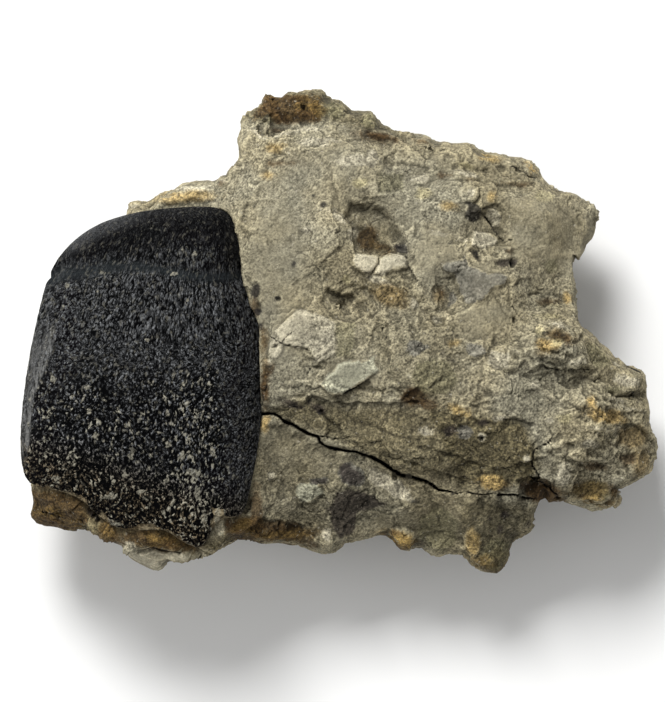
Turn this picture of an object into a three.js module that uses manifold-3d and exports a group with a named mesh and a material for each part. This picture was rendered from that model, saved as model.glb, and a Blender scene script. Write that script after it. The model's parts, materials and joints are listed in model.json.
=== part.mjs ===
// A fossil dinosaur tooth, still seated in the piece of rock that it was found in.
// The object is two pieces: the tooth crown, which broke off above its root, and the matrix, a rough block
// of pale sandstone with a socket that the crown fills.
// Millimetres. It lies on the back of the rock with the tooth's outer face up: +Z is up, +Y runs from the
// broken base of the tooth to its tip, and +X from the tooth across the rock.
// The origin is on the flat break at the rock's back, on which it rests, below the middle of its outline.
import * as THREE from "three";
import { mergeVertices } from "three/addons/utils/BufferGeometryUtils.js";
import { ImprovedNoise } from "three/addons/math/ImprovedNoise.js";
import Module from "manifold-3d";

// ---- Driving dimensions ----
const SEAT_GAP = 0.3; // left between the crown and its socket
const CROWN_RISE = 7.0; // from the crown's margin up to the crest of its outer face
const CROWN_DEPTH = 4.4; // from the margin down to the middle of its inner face
const MARGIN_HEIGHT = 18.0; // of the crown's margin above the table, at the middle of the crown
const MARGIN_LEAN = { x: 0.12, y: -0.05 }; // the margin climbs towards the rock and sinks towards the tip
const MARGIN_HALF = 0.35; // half the thickness of the crown's blunt margin
const BREAK_HALF = 1.1; // and of the wall at its break
const BREAK_LINE = [-16, -19]; // the margin turns into the break between these places on Y
const BREAK_DIP = 0.38; // share by which the crown's face has sunk at the break
const NATURAL_FLANK = 2.7; // how squarely the face turns down at its natural margin
const BROKEN_FLANK = 12; // and at the break
const BREAK_CROWDING = 1.6; // above 1, the face's grid crowds towards the break and keeps its edge sharp

const RIM_SHARE = 0.58; // height of the rock's widest line, as a share of the face above it
const RIM_WANDER = 0.1; // and how far that share wanders along it
const SHOULDER_SHARE = 0.82; // how far up from that line to the face the shoulder is
const SHOULDER_REACH = 0.965; // the shoulder's reach from the middle, as a share of the widest line's
const FOOT_REACH = 0.8; // and that of the foot, where the back turns up
const FOOT_LIFT = 1.2; // the back's turned-up edge, above the table
const FLAT_SHARE = 0.86; // share of the back that lies flat on the table
const LUMPS = { size: 6.5, rise: 0.5 }; // the broad lumps all over the rock's face

const ROCK_GRID = { columns: 40, rows: 32, layers: 6 };
const CROWN_GRID = { columns: 16, rows: 22, layers: 2 };
const OUTLINE_SAMPLES = 720; // along each outline, finer than any grid above
const PLAIN_SPAN = 24; // samples each way that are averaged where an outline's notches fade out

// ---- The rock's widest line, seen from above, round from its lower right corner by the right side ----
const ROCK_MIDDLE = [2, 0];
const ROCK_OUTLINE = [
  [30.8, -17.7], [32.3, -17.0], [34.6, -15.4], [35.2, -12.6], [34.3, -9.8], [34.0, -7.2], [33.6, -4.8],
  [31.7, -3.6], [29.5, -2.0], [27.3, 0.0], [26.0, 1.3], [25.9, 4.2], [25.3, 6.0], [25.5, 7.6],
  [27.0, 9.2], [28.4, 11.2], [29.2, 12.9], [28.2, 14.5], [25.4, 15.7], [23.2, 16.6], [22.3, 18.2],
  [20.8, 19.3], [18.4, 19.7], [15.8, 20.2], [14.0, 21.1], [11.6, 21.1], [9.4, 22.0], [6.7, 22.2],
  [4.7, 23.3], [3.4, 24.5], [1.6, 24.6], [-0.4, 25.8], [-2.1, 26.9], [-4.2, 26.8], [-6.4, 26.1],
  [-8.0, 26.4], [-9.2, 24.9], [-10.8, 23.5], [-11.1, 21.2], [-10.9, 19.4], [-12.0, 18.0], [-13.7, 16.7],
  [-16.2, 16.7], [-18.2, 15.8], [-20.2, 15.2], [-22.2, 14.6], [-23.6, 14.5], [-24.2, 12.2], [-28.8, 7.4],
  [-30.8, 3.2], [-32.2, -1.6], [-33.2, -6.6], [-33.9, -11.6], [-34.4, -16.2], [-34.5, -19.6],
  [-34.0, -21.3], [-31.4, -22.1], [-28.6, -22.0], [-25.9, -22.9], [-24.2, -24.4], [-21.9, -26.0],
  [-20.1, -26.4], [-18.3, -25.3], [-15.6, -24.8], [-13.2, -24.0], [-11.0, -22.9], [-8.2, -23.4],
  [-5.2, -23.8], [-2.4, -24.4], [-0.4, -23.9], [1.8, -22.9], [4.6, -22.5], [6.6, -23.9], [9.0, -24.1],
  [11.0, -25.0], [13.2, -24.9], [15.4, -26.3], [17.8, -27.4], [19.0, -25.4], [19.6, -23.3], [21.4, -22.1],
  [21.5, -20.4], [22.6, -18.8], [25.2, -19.0], [27.7, -19.8], [30.9, -19.6],
];

// ---- The crown's margin, seen from above, round from its lower right corner by the right side ----
const CROWN_MIDDLE = [-21.5, -5];
const CROWN_OUTLINE = [
  [-10.2, -20.4], [-9.5, -17.0], [-8.9, -12.0], [-8.4, -7.0], [-8.4, -2.5], [-8.9, 1.0], [-9.9, 4.4],
  [-10.5, 7.4], [-10.9, 10.2], [-11.7, 12.4], [-13.0, 13.6], [-15.0, 13.8], [-18.0, 13.7], [-21.0, 13.4],
  [-24.0, 12.8], [-26.6, 11.9], [-29.0, 10.4], [-31.0, 8.3], [-32.3, 5.9], [-33.1, 2.8], [-33.9, -0.6],
  [-34.6, -4.6], [-35.1, -8.6], [-35.3, -12.6], [-35.0, -15.4], [-34.2, -17.0], [-31.4, -17.5],
  [-28.6, -18.5], [-26.6, -20.4], [-24.4, -21.8], [-21.6, -22.0], [-19.2, -21.9], [-17.4, -23.2],
  [-15.2, -24.0], [-14.3, -22.4], [-13.4, -20.7],
];

// ---- Heights of the rock's face, one spot each: [x, y, height] ----
const SPOT_HEIGHTS = [
  // the main face, beside the tooth and across to the right
  [-7, 12, 21.4], [-6, 5, 21.7], [-5.5, -4, 22.0], [1, 18, 21.3], [-1, 11, 22.6], [2, 0, 22.5], [8, 8, 21.8],
  [8, -4, 23.2], [13, 14, 20.9], [16, 4, 22.2], [16, -8, 22.9], [9, -12, 22.4], [20, -13, 21.8],
  // the nose at the upper right, and the notch under it
  [21, 12, 19.0], [28, 12.5, 14.5], [25, 5.5, 17.5],
  // the big lower right lobe
  [24, -2, 21.3], [27, -10, 21.8], [32, -6, 18.2], [33, -13, 16.8], [28, -17, 18.0], [22, -17, 20.5],
  // the upper edge and its stained pocket
  [-8, 21, 19.6], [-3, 21.5, 20.2], [-6, 24.5, 15.6], [0, 24, 15.8], [4, 22, 17.6], [12, 19, 18.6],
  [20, 18, 16.4],
  // the sunk slab below the crack
  [-5.5, -12, 20.3], [0, -15, 19.8], [6, -18, 19.2], [14, -19.5, 18.6], [19, -21.5, 16.6], [-6, -18, 19.0],
  [-4, -22, 16.8], [4, -21.5, 16.8], [12, -23, 15.8], [17.5, -25, 15.0],
  // round the tooth: behind its tip, and below the break
  [-11, 15.5, 19.0], [-16, 15.2, 16.2], [-22, 14, 14.8], [-11, -21.3, 20.4], [-13, -22.6, 20.8],
  [-16.6, -24.4, 20.4], [-21.6, -22.6, 21.6], [-26, -21.2, 21.2], [-30.5, -18.6, 19.8], [-33.4, -18.2, 17.4],
  [-22, -25.4, 18.6], [-31, -21.4, 17.2],
  // under the tooth
  [-22, -5, 18.5], [-22, 6, 18.0], [-30, -6, 16.8], [-28, 5, 16.4], [-14, 0, 20.2], [-14, -14, 19.6],
];
const SPOT_SIZE = 2.6; // how far each height holds around its spot
const SPOT_POWER = 2.2; // higher hands over faster from one spot to the next

// ---- Lumps (rise above 0) and hollows (below 0) on the face ----
// Each has its middle, half its length and width, its turn in degrees, and how far it rises.
const FACE_FEATURES = [
  { at: [3.4, 11.5], half: [3.9, 2.4], turn: -42, rise: -2.3 }, // pocket above the pale chips
  { at: [2.0, 3.4], half: [3.0, 1.9], turn: -20, rise: -1.3 }, // hollow below them
  { at: [12.2, 4.6], half: [2.1, 2.2], turn: 0, rise: -1.2 },
  { at: [-1.6, 11.4], half: [2.8, 2.2], turn: -20, rise: 0.8 }, // crumbly block left of the pocket
  { at: [4.4, 7.3], half: [3.2, 1.8], turn: 0, rise: 0.7 }, // the pale chips
  { at: [-4.4, 0.6], half: [2.8, 2.2], turn: 20, rise: 0.7 },
  { at: [16.4, 11.2], half: [3.4, 2.1], turn: -45, rise: -1.0 },
  { at: [24.3, -1.4], half: [3.4, 2.6], turn: -10, rise: 1.5 }, // the crusted nodule
  { at: [25.2, -5.2], half: [4.2, 1.6], turn: 0, rise: -1.1 },
  { at: [28.8, -13.0], half: [3.0, 2.4], turn: 20, rise: 0.8 },
  { at: [-7.0, 24.0], half: [2.3, 1.9], turn: -30, rise: -1.6 }, // the stained pocket
  { at: [-3.4, 23.9], half: [2.0, 1.5], turn: 0, rise: -1.2 },
  { at: [4.5, -9.6], half: [7.5, 2.4], turn: -8, rise: -0.7 }, // the smooth flank above the crack
];

// The crack runs from the tooth to the notch in the lower edge, and the slab below it has sunk.
const CRACK = [[-8.7, -9], [-5, -10.6], [0, -12.8], [5, -14.6], [9, -16.4], [13, -17.9], [22, -18.5]];
const SLAB_DROP = 1.3;
const SLAB_EDGE = 1.6; // width of the slope between the two levels

// ---- Flat breaks round the back: which way each faces, its distance from the middle at the table, and how
// far it leans out from upright on its way up, in degrees ----
const BREAKS = [
  { toward: -14, foot: 22.5, lean: 48 },
  { toward: 33, foot: 20, lean: 45 },
  { toward: 78, foot: 17, lean: 41 },
  { toward: 112, foot: 20.6, lean: 38 },
  { toward: 148, foot: 20, lean: 44 },
  { toward: 178, foot: 28, lean: 38 },
  { toward: 216, foot: 31.5, lean: 44 },
  { toward: 255, foot: 22.3, lean: 42 },
  { toward: 274, foot: 17.5, lean: 44 },
  { toward: 296, foot: 24.6, lean: 41 },
  { toward: 322, foot: 24, lean: 44 },
];
const BREAK_BLOCK = 150; // side of the cube that is cut away at each break

const COLOURS = { tooth: 0x1b1b1d, matrix: 0x958c79 };

const noise = new ImprovedNoise();
const smooth = THREE.MathUtils.smoothstep;
const mix = THREE.MathUtils.lerp;
const radians = THREE.MathUtils.degToRad;

/** An outline in even samples, as it is (full) and with its notches averaged away (plain). */
function sampledOutline(points) {
  const corners = points.map(([x, y]) => new THREE.Vector3(x, y, 0));
  const curve = new THREE.CatmullRomCurve3(corners, true, "centripetal");
  curve.arcLengthDivisions = OUTLINE_SAMPLES * 4;
  const full = curve.getSpacedPoints(OUTLINE_SAMPLES).slice(0, -1);
  const plain = full.map((_, i) => {
    const mean = new THREE.Vector3();
    for (let j = -PLAIN_SPAN; j <= PLAIN_SPAN; j++) {
      mean.add(full[(i + j + OUTLINE_SAMPLES) % OUTLINE_SAMPLES]);
    }
    return mean.divideScalar(2 * PLAIN_SPAN + 1);
  });
  return { full, plain };
}

/** A point between two samples of an outline, at turn from 0 to 1 round it. */
function alongOutline(samples, turn) {
  const at = turn * samples.length;
  const before = Math.floor(at) % samples.length;
  return samples[before].clone().lerp(samples[(before + 1) % samples.length], at - Math.floor(at));
}

/** How far round the edge of its grid a point of the square from -1 to 1 lies, from 0 to 1. */
function turnOf(u, v, { columns, rows }) {
  const reach = Math.max(Math.abs(u), Math.abs(v));
  if (reach === 0) return 0;
  const [a, b] = [u / reach, v / reach];
  let along;
  if (a >= 1) along = ((b + 1) / 2) * rows;
  else if (b >= 1) along = rows + ((1 - a) / 2) * columns;
  else if (a <= -1) along = rows + columns + ((1 - b) / 2) * rows;
  else along = 2 * rows + columns + ((a + 1) / 2) * columns;
  return (along / (2 * (rows + columns))) % 1;
}

/** A box of grids moulded to an outline. place(at, reach, level) gives each vertex its position: reach is its
 *  share of the way out, level its height from -1 to 1, and at(share, notched) the spot on the line from the
 *  middle to the outline, with as much of the outline's notches as notched says. */
function moulded(grid, middle, outline, place) {
  const box = new THREE.BoxGeometry(2, 2, 2, grid.columns, grid.rows, grid.layers);
  box.deleteAttribute("normal");
  box.deleteAttribute("uv");
  const vertices = box.getAttribute("position");
  for (let i = 0; i < vertices.count; i++) {
    const [u, v, level] = [vertices.getX(i), vertices.getY(i), vertices.getZ(i)];
    const turn = turnOf(u, v, grid);
    const full = alongOutline(outline.full, turn);
    const plain = alongOutline(outline.plain, turn);
    const at = (share, notched) => {
      const edge = plain.clone().lerp(full, notched);
      return [mix(middle[0], edge.x, share), mix(middle[1], edge.y, share)];
    };
    vertices.setXYZ(i, ...place(at, Math.max(Math.abs(u), Math.abs(v)), level));
  }
  return mergeVertices(box, 1e-4);
}

/** How far a place seen from above lies above the line of the crack: positive on the main block. */
function aboveCrack(x, y) {
  const next = CRACK.findIndex(([crackX]) => crackX > x);
  const end = THREE.MathUtils.clamp(next < 0 ? CRACK.length - 1 : next, 1, CRACK.length - 1);
  const [[x0, y0], [x1, y1]] = [CRACK[end - 1], CRACK[end]];
  return y - mix(y0, y1, (x - x0) / (x1 - x0));
}

/** Height of the rock's face at a place seen from above. */
function faceHeight(x, y) {
  let weights = 0;
  let height = 0;
  for (const [spotX, spotY, spotHeight] of SPOT_HEIGHTS) {
    const away = ((x - spotX) ** 2 + (y - spotY) ** 2) / SPOT_SIZE ** 2;
    const weight = (1 + away) ** -SPOT_POWER;
    weights += weight;
    height += weight * spotHeight;
  }
  height /= weights;
  for (const { at, half, turn, rise } of FACE_FEATURES) {
    const angle = radians(turn);
    const [dx, dy] = [x - at[0], y - at[1]];
    const along = (dx * Math.cos(angle) + dy * Math.sin(angle)) / half[0];
    const across = (dy * Math.cos(angle) - dx * Math.sin(angle)) / half[1];
    height += rise * Math.exp(-((along ** 2 + across ** 2) ** 1.3));
  }
  const below = smooth(-aboveCrack(x, y), -SLAB_EDGE / 2, SLAB_EDGE / 2);
  const onSlab = below * smooth(x, CRACK[0][0] - 1, CRACK[0][0] + 1);
  const lump = noise.noise(x / LUMPS.size + 11, y / LUMPS.size + 5, 3);
  return height - SLAB_DROP * onSlab + LUMPS.rise * lump;
}

/** The block of rock before it is broken and its socket is cut. */
function rockGeometry() {
  return moulded(ROCK_GRID, ROCK_MIDDLE, sampledOutline(ROCK_OUTLINE), (at, reach, level) => {
    const notched = mix(1, level >= 0 ? 0.6 : 0.1, Math.abs(level)); // the notches fade up and down the wall
    if (reach < 1 && level < 0) {
      return [...at(reach * FOOT_REACH, notched), FOOT_LIFT * smooth(reach, FLAT_SHARE, 1)];
    }
    const [rimX, rimY] = at(1, 1);
    const wander = noise.noise(rimX / 9, rimY / 9, 0);
    const rim = (RIM_SHARE + RIM_WANDER * wander) * faceHeight(rimX, rimY);
    if (reach < 1) {
      const [x, y] = at(reach * SHOULDER_REACH, notched * reach ** 3);
      const top = faceHeight(x, y);
      return [x, y, mix(top, mix(rim, top, SHOULDER_SHARE), smooth(reach, 0.8, 1) ** 2)];
    }
    const shoulder = (1 - SHOULDER_REACH) * Math.max(level, 0) ** 1.8;
    const foot = (1 - FOOT_REACH) * Math.max(-level, 0) ** 1.5;
    const [x, y] = at(1 - shoulder - foot, notched);
    if (level < 0) return [x, y, mix(rim, FOOT_LIFT, -level)];
    return [x, y, mix(rim, faceHeight(x, y), SHOULDER_SHARE * level)];
  });
}

/** The cube that a flat break takes off the block. */
function breakGeometry({ toward, foot, lean }) {
  const out = new THREE.Vector3(Math.cos(radians(toward)), Math.sin(radians(toward)), 0);
  const facing = out.clone().multiplyScalar(Math.cos(radians(lean)));
  facing.z = -Math.sin(radians(lean));
  const middle = new THREE.Vector3(ROCK_MIDDLE[0], ROCK_MIDDLE[1], 0).addScaledVector(out, foot);
  middle.addScaledVector(facing, BREAK_BLOCK / 2);
  const block = new THREE.BoxGeometry(BREAK_BLOCK, BREAK_BLOCK, BREAK_BLOCK);
  block.applyQuaternion(new THREE.Quaternion().setFromUnitVectors(new THREE.Vector3(0, 0, 1), facing));
  block.translate(middle.x, middle.y, middle.z);
  block.deleteAttribute("normal");
  block.deleteAttribute("uv");
  return block;
}

/** The tooth crown, or with room above 0 the space that it needs in the rock. */
function crownGeometry(room) {
  const [middleX, middleY] = CROWN_MIDDLE;
  return moulded(CROWN_GRID, CROWN_MIDDLE, sampledOutline(CROWN_OUTLINE), (at, reach, level) => {
    const [edgeX, edgeY] = at(1, 1);
    const broken = smooth(-edgeY, -BREAK_LINE[0], -BREAK_LINE[1]);
    const grown = 1 + room / Math.hypot(edgeX - middleX, edgeY - middleY);
    const share = mix(reach, 1 - (1 - reach) ** BREAK_CROWDING, broken);
    const [x, y] = at(share * grown, share ** 4);
    const margin = MARGIN_HEIGHT + MARGIN_LEAN.x * (x - middleX) + MARGIN_LEAN.y * (y - middleY);
    const half = mix(MARGIN_HALF, BREAK_HALF, broken) + room;
    if (reach === 1) return [x, y, margin + level * half];
    if (level < 0) return [x, y, margin - half - Math.sqrt(1 - share ** 2) * (CROWN_DEPTH + room - half)];
    const sunk = 1 - BREAK_DIP * smooth(middleY - y, 0, middleY - BREAK_LINE[1]);
    const bulge = Math.sqrt(1 - share ** mix(NATURAL_FLANK, BROKEN_FLANK, broken));
    return [x, y, margin + half + bulge * (CROWN_RISE * sunk + room - half)];
  });
}

/** A three.js geometry as a manifold-3d solid. */
function solidOf(wasm, geometry) {
  const merged = mergeVertices(geometry, 1e-4);
  return new wasm.Manifold(
    new wasm.Mesh({
      numProp: 3,
      vertProperties: merged.getAttribute("position").array,
      triVerts: new Uint32Array(merged.index.array),
    }),
  );
}

/** A manifold-3d solid as a three.js geometry. */
function geometryOf(solid) {
  const mesh = solid.getMesh();
  return new THREE.BufferGeometry()
    .setAttribute("position", new THREE.BufferAttribute(Float32Array.from(mesh.vertProperties), 3))
    .setIndex(new THREE.BufferAttribute(Uint32Array.from(mesh.triVerts), 1));
}

/** One named piece of the fossil. */
function piece(name, geometry, roughness) {
  geometry.computeVertexNormals();
  const material = new THREE.MeshStandardMaterial({ color: COLOURS[name], roughness, metalness: 0 });
  const mesh = new THREE.Mesh(geometry, material);
  mesh.name = name;
  return mesh;
}

const wasm = await Module();
wasm.setup();

let matrix = solidOf(wasm, rockGeometry());
for (const flatBreak of BREAKS) matrix = matrix.subtract(solidOf(wasm, breakGeometry(flatBreak)));
matrix = matrix.subtract(solidOf(wasm, crownGeometry(SEAT_GAP)));

const fossil = new THREE.Group();
fossil.add(piece("tooth", crownGeometry(0), 0.45));
fossil.add(piece("matrix", geometryOf(matrix), 0.9));

export default fossil;
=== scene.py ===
# %% [markdown]
# # A fossil dinosaur tooth in its rock
# The object is two pieces: a black, wrinkled tooth crown, and the block of pale rock that it is still
# seated in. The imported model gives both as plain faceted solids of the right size. This script makes a
# fine copy of each, works the real surface into the copies, and gives them their finish.
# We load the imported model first, because every place below is measured from it.

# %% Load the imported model
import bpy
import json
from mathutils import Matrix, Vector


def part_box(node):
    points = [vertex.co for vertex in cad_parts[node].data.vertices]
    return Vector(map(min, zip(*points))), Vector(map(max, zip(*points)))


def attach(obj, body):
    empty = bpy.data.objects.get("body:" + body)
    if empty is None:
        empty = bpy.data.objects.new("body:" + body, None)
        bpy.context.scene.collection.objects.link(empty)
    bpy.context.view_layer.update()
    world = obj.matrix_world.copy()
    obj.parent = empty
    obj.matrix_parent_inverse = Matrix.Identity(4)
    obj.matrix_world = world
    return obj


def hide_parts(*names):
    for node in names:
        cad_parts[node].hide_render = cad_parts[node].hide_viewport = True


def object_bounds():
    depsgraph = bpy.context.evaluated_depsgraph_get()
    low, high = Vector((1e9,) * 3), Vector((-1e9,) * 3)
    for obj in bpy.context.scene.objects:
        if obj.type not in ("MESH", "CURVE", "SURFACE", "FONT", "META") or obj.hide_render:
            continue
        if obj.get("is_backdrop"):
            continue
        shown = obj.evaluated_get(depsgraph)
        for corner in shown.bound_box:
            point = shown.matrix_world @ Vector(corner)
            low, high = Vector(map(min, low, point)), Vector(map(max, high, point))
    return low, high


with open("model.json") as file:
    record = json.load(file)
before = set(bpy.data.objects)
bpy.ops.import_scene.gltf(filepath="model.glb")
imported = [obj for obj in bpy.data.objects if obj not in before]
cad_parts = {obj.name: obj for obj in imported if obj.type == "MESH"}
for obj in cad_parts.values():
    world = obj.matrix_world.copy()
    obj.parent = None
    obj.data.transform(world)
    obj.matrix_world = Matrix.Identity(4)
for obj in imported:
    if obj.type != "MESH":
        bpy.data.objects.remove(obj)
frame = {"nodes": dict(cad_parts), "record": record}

cad_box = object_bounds()
print("solid model, metres:", [round(high - low, 4) for low, high in zip(*cad_box)])

# %% [markdown]
# Blender works in metres, but a rock this small is easier to think about in millimetres. Every place on
# the rock's face is therefore given as millimetres right (x) and up (y) of the point that the rock rests
# on, which the record states as the mount named back.

# %% Imports, units and the point that everything is measured from
import json
import math

import bmesh
import bpy
import numpy as np
from mathutils import Vector, kdtree, noise
from mathutils.bvhtree import BVHTree

MM = 0.001
rest_point = Vector(frame["record"]["mounts"][0]["pos_m"])
for solid in ("tooth", "matrix"):
    low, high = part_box(solid)
    print(solid, "mm:", [round((b - a) / MM, 1) for a, b in zip(low, high)])

# %% [markdown]
# ## The camera, the floor and the light
# The specimen lies on its back with the tooth up, so the camera looks straight down on it with the
# tooth's tip towards the top of the picture. A long lens from well above keeps the outline true. The
# framing is worked out from the size that the picture has to cover at the height of the rock's rim.

# %% Camera
VIEW_WIDTH = 73.9  # millimetres across the picture, at the rim
VIEW_CENTRE = (-0.78, -2.17)
RIM_HEIGHT = 11.0
CAMERA_RISE = 1200.0  # above the rim
SENSOR_WIDTH = 36.0

camera_data = bpy.data.cameras.new("camera")
camera_data.sensor_fit = "HORIZONTAL"
camera_data.sensor_width = SENSOR_WIDTH
camera_data.lens = SENSOR_WIDTH * CAMERA_RISE / VIEW_WIDTH
camera_data.clip_start = 0.01
camera_data.clip_end = 10.0
camera = bpy.data.objects.new("camera", camera_data)
camera.location = Vector((*VIEW_CENTRE, RIM_HEIGHT + CAMERA_RISE)) * MM + rest_point
bpy.context.scene.collection.objects.link(camera)
bpy.context.scene.camera = camera
print("lens, mm:", round(camera_data.lens, 1))

# %% [markdown]
# The floor is one large plain sheet, nearly white.

# %% Floor
FLOOR_SIDE = 3.0  # metres

floor_paint = bpy.data.materials.new("floor_paint")
floor_paint.use_nodes = True
floor_shader = floor_paint.node_tree.nodes["Principled BSDF"]
floor_shader.inputs["Base Color"].default_value = (0.93, 0.93, 0.92, 1)
floor_shader.inputs["Roughness"].default_value = 0.9

floor_mesh = bpy.data.meshes.new("floor")
sheet = bmesh.new()
bmesh.ops.create_grid(sheet, x_segments=1, y_segments=1, size=FLOOR_SIDE / 2)
sheet.to_mesh(floor_mesh)
sheet.free()
floor_mesh.materials.append(floor_paint)
floor = bpy.data.objects.new("floor", floor_mesh)
bpy.context.scene.collection.objects.link(floor)
floor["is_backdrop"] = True

# %% [markdown]
# Relief only reads when light comes from one side more than the others. A broad lamp stands high above
# the tip of the tooth and a little to its left, so the hollows and ledges of the rock get soft shadows
# on their lower side. A weaker one from the left catches the tooth's left flank. The pale surroundings
# fill the rest.

# %% Lights and surroundings
def soft_lamp(name, place, side, power):
    """A square lamp at a place in metres, turned towards the specimen."""
    lamp_data = bpy.data.lights.new(name, "AREA")
    lamp_data.shape = "SQUARE"
    lamp_data.size = side
    lamp_data.energy = power
    lamp = bpy.data.objects.new(name, lamp_data)
    lamp.location = place
    lamp.rotation_euler = (-Vector(place)).to_track_quat("-Z", "Y").to_euler()
    bpy.context.scene.collection.objects.link(lamp)
    return lamp


soft_lamp("high_lamp", (-0.16, 0.46, 0.56), 0.26, 6.0)
soft_lamp("left_lamp", (-0.62, -0.02, 0.24), 0.26, 1.3)

world = bpy.data.worlds.new("surroundings")
world.use_nodes = True
world.node_tree.nodes["Background"].inputs["Color"].default_value = (1.0, 1.0, 1.0, 1)
world.node_tree.nodes["Background"].inputs["Strength"].default_value = 0.40
bpy.context.scene.world = world
bpy.context.scene.view_settings.view_transform = "Standard"

# %% [markdown]
# ## Helpers
# These read and write all the vertices of a mesh at once, as rows of millimetres, which lets numpy do
# the sums. `averaged` blends each vertex with its neighbours along the mesh's edges. It smooths a shape,
# and the difference between a shape and its smoothed self tells hollows from edges.

# %% Helpers for meshes
def places(mesh):
    """Every vertex of a mesh in millimetres, as rows of x, y, z."""
    flat = np.empty(len(mesh.vertices) * 3, np.float32)
    mesh.vertices.foreach_get("co", flat)
    return flat.reshape(-1, 3).astype(float) / MM


def facings(mesh):
    """The way that every vertex of a mesh faces."""
    flat = np.empty(len(mesh.vertices) * 3, np.float32)
    mesh.vertices.foreach_get("normal", flat)
    return flat.reshape(-1, 3).astype(float)


def put_places(mesh, spots):
    """Moves every vertex of a mesh to its row of spots, in millimetres."""
    mesh.vertices.foreach_set("co", (spots * MM).astype(np.float32).ravel())
    mesh.update()


def put_mask(mesh, name, values):
    """Stores one number for each vertex, for the materials to read."""
    attribute = mesh.attributes.new(name, "FLOAT", "POINT")
    attribute.data.foreach_set("value", np.clip(values, 0, 1).astype(np.float32))


def averaged(mesh, values, rounds):
    """Each vertex's row of values blended with its neighbours', that many times."""
    edges = np.empty(len(mesh.edges) * 2, np.int32)
    mesh.edges.foreach_get("vertices", edges)
    first, second = edges.reshape(-1, 2).T
    count = np.bincount(edges, minlength=len(values))
    alone = count == 0
    count = count.clip(1)
    columns = values.reshape(len(values), -1).T.copy()
    for _ in range(rounds):
        for row, column in enumerate(columns):
            total = np.bincount(first, column[second], len(column))
            total += np.bincount(second, column[first], len(column))
            columns[row] = np.where(alone, column, 0.5 * column + 0.5 * total / count)
    return columns.T.reshape(values.shape)


def hollowness(mesh, rounds):
    """How far each vertex lies below (above 0) or above (below 0) its smoothed surroundings, in mm."""
    spots = places(mesh)
    return ((averaged(mesh, spots, rounds) - spots) * facings(mesh)).sum(1)


def merged_copy(node, name, join):
    """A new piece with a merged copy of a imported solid's mesh, its triangles joined to quads if asked."""
    mesh = frame["nodes"][node].data.copy()
    mesh.name = name
    mesh.materials.clear()
    shape = bmesh.new()
    shape.from_mesh(mesh)
    bmesh.ops.remove_doubles(shape, verts=shape.verts, dist=1e-6)
    if join:
        bmesh.ops.join_triangles(
            shape, faces=shape.faces, angle_face_threshold=0.9, angle_shape_threshold=2.0
        )
    shape.to_mesh(mesh)
    shape.free()
    piece = bpy.data.objects.new(name, mesh)
    bpy.context.scene.collection.objects.link(piece)
    return piece


def settle(piece):
    """Makes the piece's modifiers a part of its mesh."""
    finished = bpy.data.meshes.new_from_object(
        piece.evaluated_get(bpy.context.evaluated_depsgraph_get())
    )
    rough_mesh = piece.data
    piece.modifiers.clear()
    piece.data = finished
    bpy.data.meshes.remove(rough_mesh)
    finished.name = piece.name


def refine(mesh, wanted):
    """Cuts each face whose corners are all wanted into four."""
    keep = wanted(places(mesh), facings(mesh))
    shape = bmesh.new()
    shape.from_mesh(mesh)
    shape.verts.ensure_lookup_table()
    for vertex in shape.verts:
        vertex.tag = bool(keep[vertex.index])
    chosen = [face for face in shape.faces if all(vertex.tag for vertex in face.verts)]
    edges = list(dict.fromkeys(edge for face in chosen for edge in face.edges))
    bmesh.ops.subdivide_edges(shape, edges=edges, cuts=1, use_grid_fill=True, smooth=0.0)
    shape.to_mesh(mesh)
    shape.free()
    corners = sum(len(face.vertices) - 2 for face in mesh.polygons)
    print(mesh.name, "now has", corners, "triangles")


def surface_tree(piece):
    """A search tree of a piece's faces, in metres."""
    return BVHTree.FromPolygons(
        [vertex.co for vertex in piece.data.vertices], [list(face.vertices) for face in piece.data.polygons]
    )


def reach_to(tree, spots, furthest):
    """Distance in millimetres from each spot to a surface, and the nearest place on it."""
    distance = np.full(len(spots), furthest)
    nearest = spots.copy()
    for row, spot in enumerate((spots * MM).tolist()):
        found, _, _, gap = tree.find_nearest(spot, furthest * MM)
        if found is not None:
            distance[row] = gap / MM
            nearest[row] = np.array(found) / MM
    return distance, nearest


# %% [markdown]
# Noise drives most of what follows. Blender's `mathutils.noise` answers for one point at a time, which
# is quick enough for a hundred thousand of them. `lumps` is smooth rolling noise. `chips` is the look of
# broken stone: space is split into cells, and each cell is a flat plane with a tilt and a level of its
# own. `shingles` is a field of planes that climb slowly one way and then break off, like torn slate.
# `sideways` is lumps to the right and up only: added to the places of a drawn line or shape, it makes
# its edge wander. The seed is set first, because Blender would otherwise start `noise_vector` from the
# clock, and the stone would break another way in every run.

# %% Helpers for noise
noise.seed_set(11)


def lumps(spots, size, seed, layers=1):
    """Rolling noise, roughly -1 to 1, with lumps of that size and finer layers on top."""
    shift = Vector((seed * 17.31, seed * 5.17, seed * 9.73))
    return np.array(
        [noise.fractal(Vector(spot) + shift, 0.8, 2.1, layers) for spot in (spots / size).tolist()]
    )


def chips(spots, size, seed, level=0.3):
    """Chipped planes, roughly -1 to 1, in cells of that size. level weighs steps against tilts."""
    shift = Vector((seed * 11.9, seed * 7.7, seed * 3.1))
    heights = []
    for spot in (spots / size).tolist():
        point = Vector(spot) + shift
        middle = noise.voronoi(point)[1][0]
        own = noise.noise_vector(middle * 6.3)
        heights.append((1 - level) * 2 * own.dot(point - middle) + level * noise.noise(middle * 9.1))
    return np.array(heights) * 1.6


def shingles(spots, towards, size, seed, wildness=1.0):
    """Planes that climb over that size and break off within an eighth of it, from -0.5 to 0.5."""
    climb = spots @ np.array(towards) / size + wildness * lumps(spots, 1.7 * size, seed, 3)
    share = climb - np.floor(climb)
    return np.where(share < 0.87, share / 0.87, (1 - share) / 0.13) - 0.5


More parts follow.
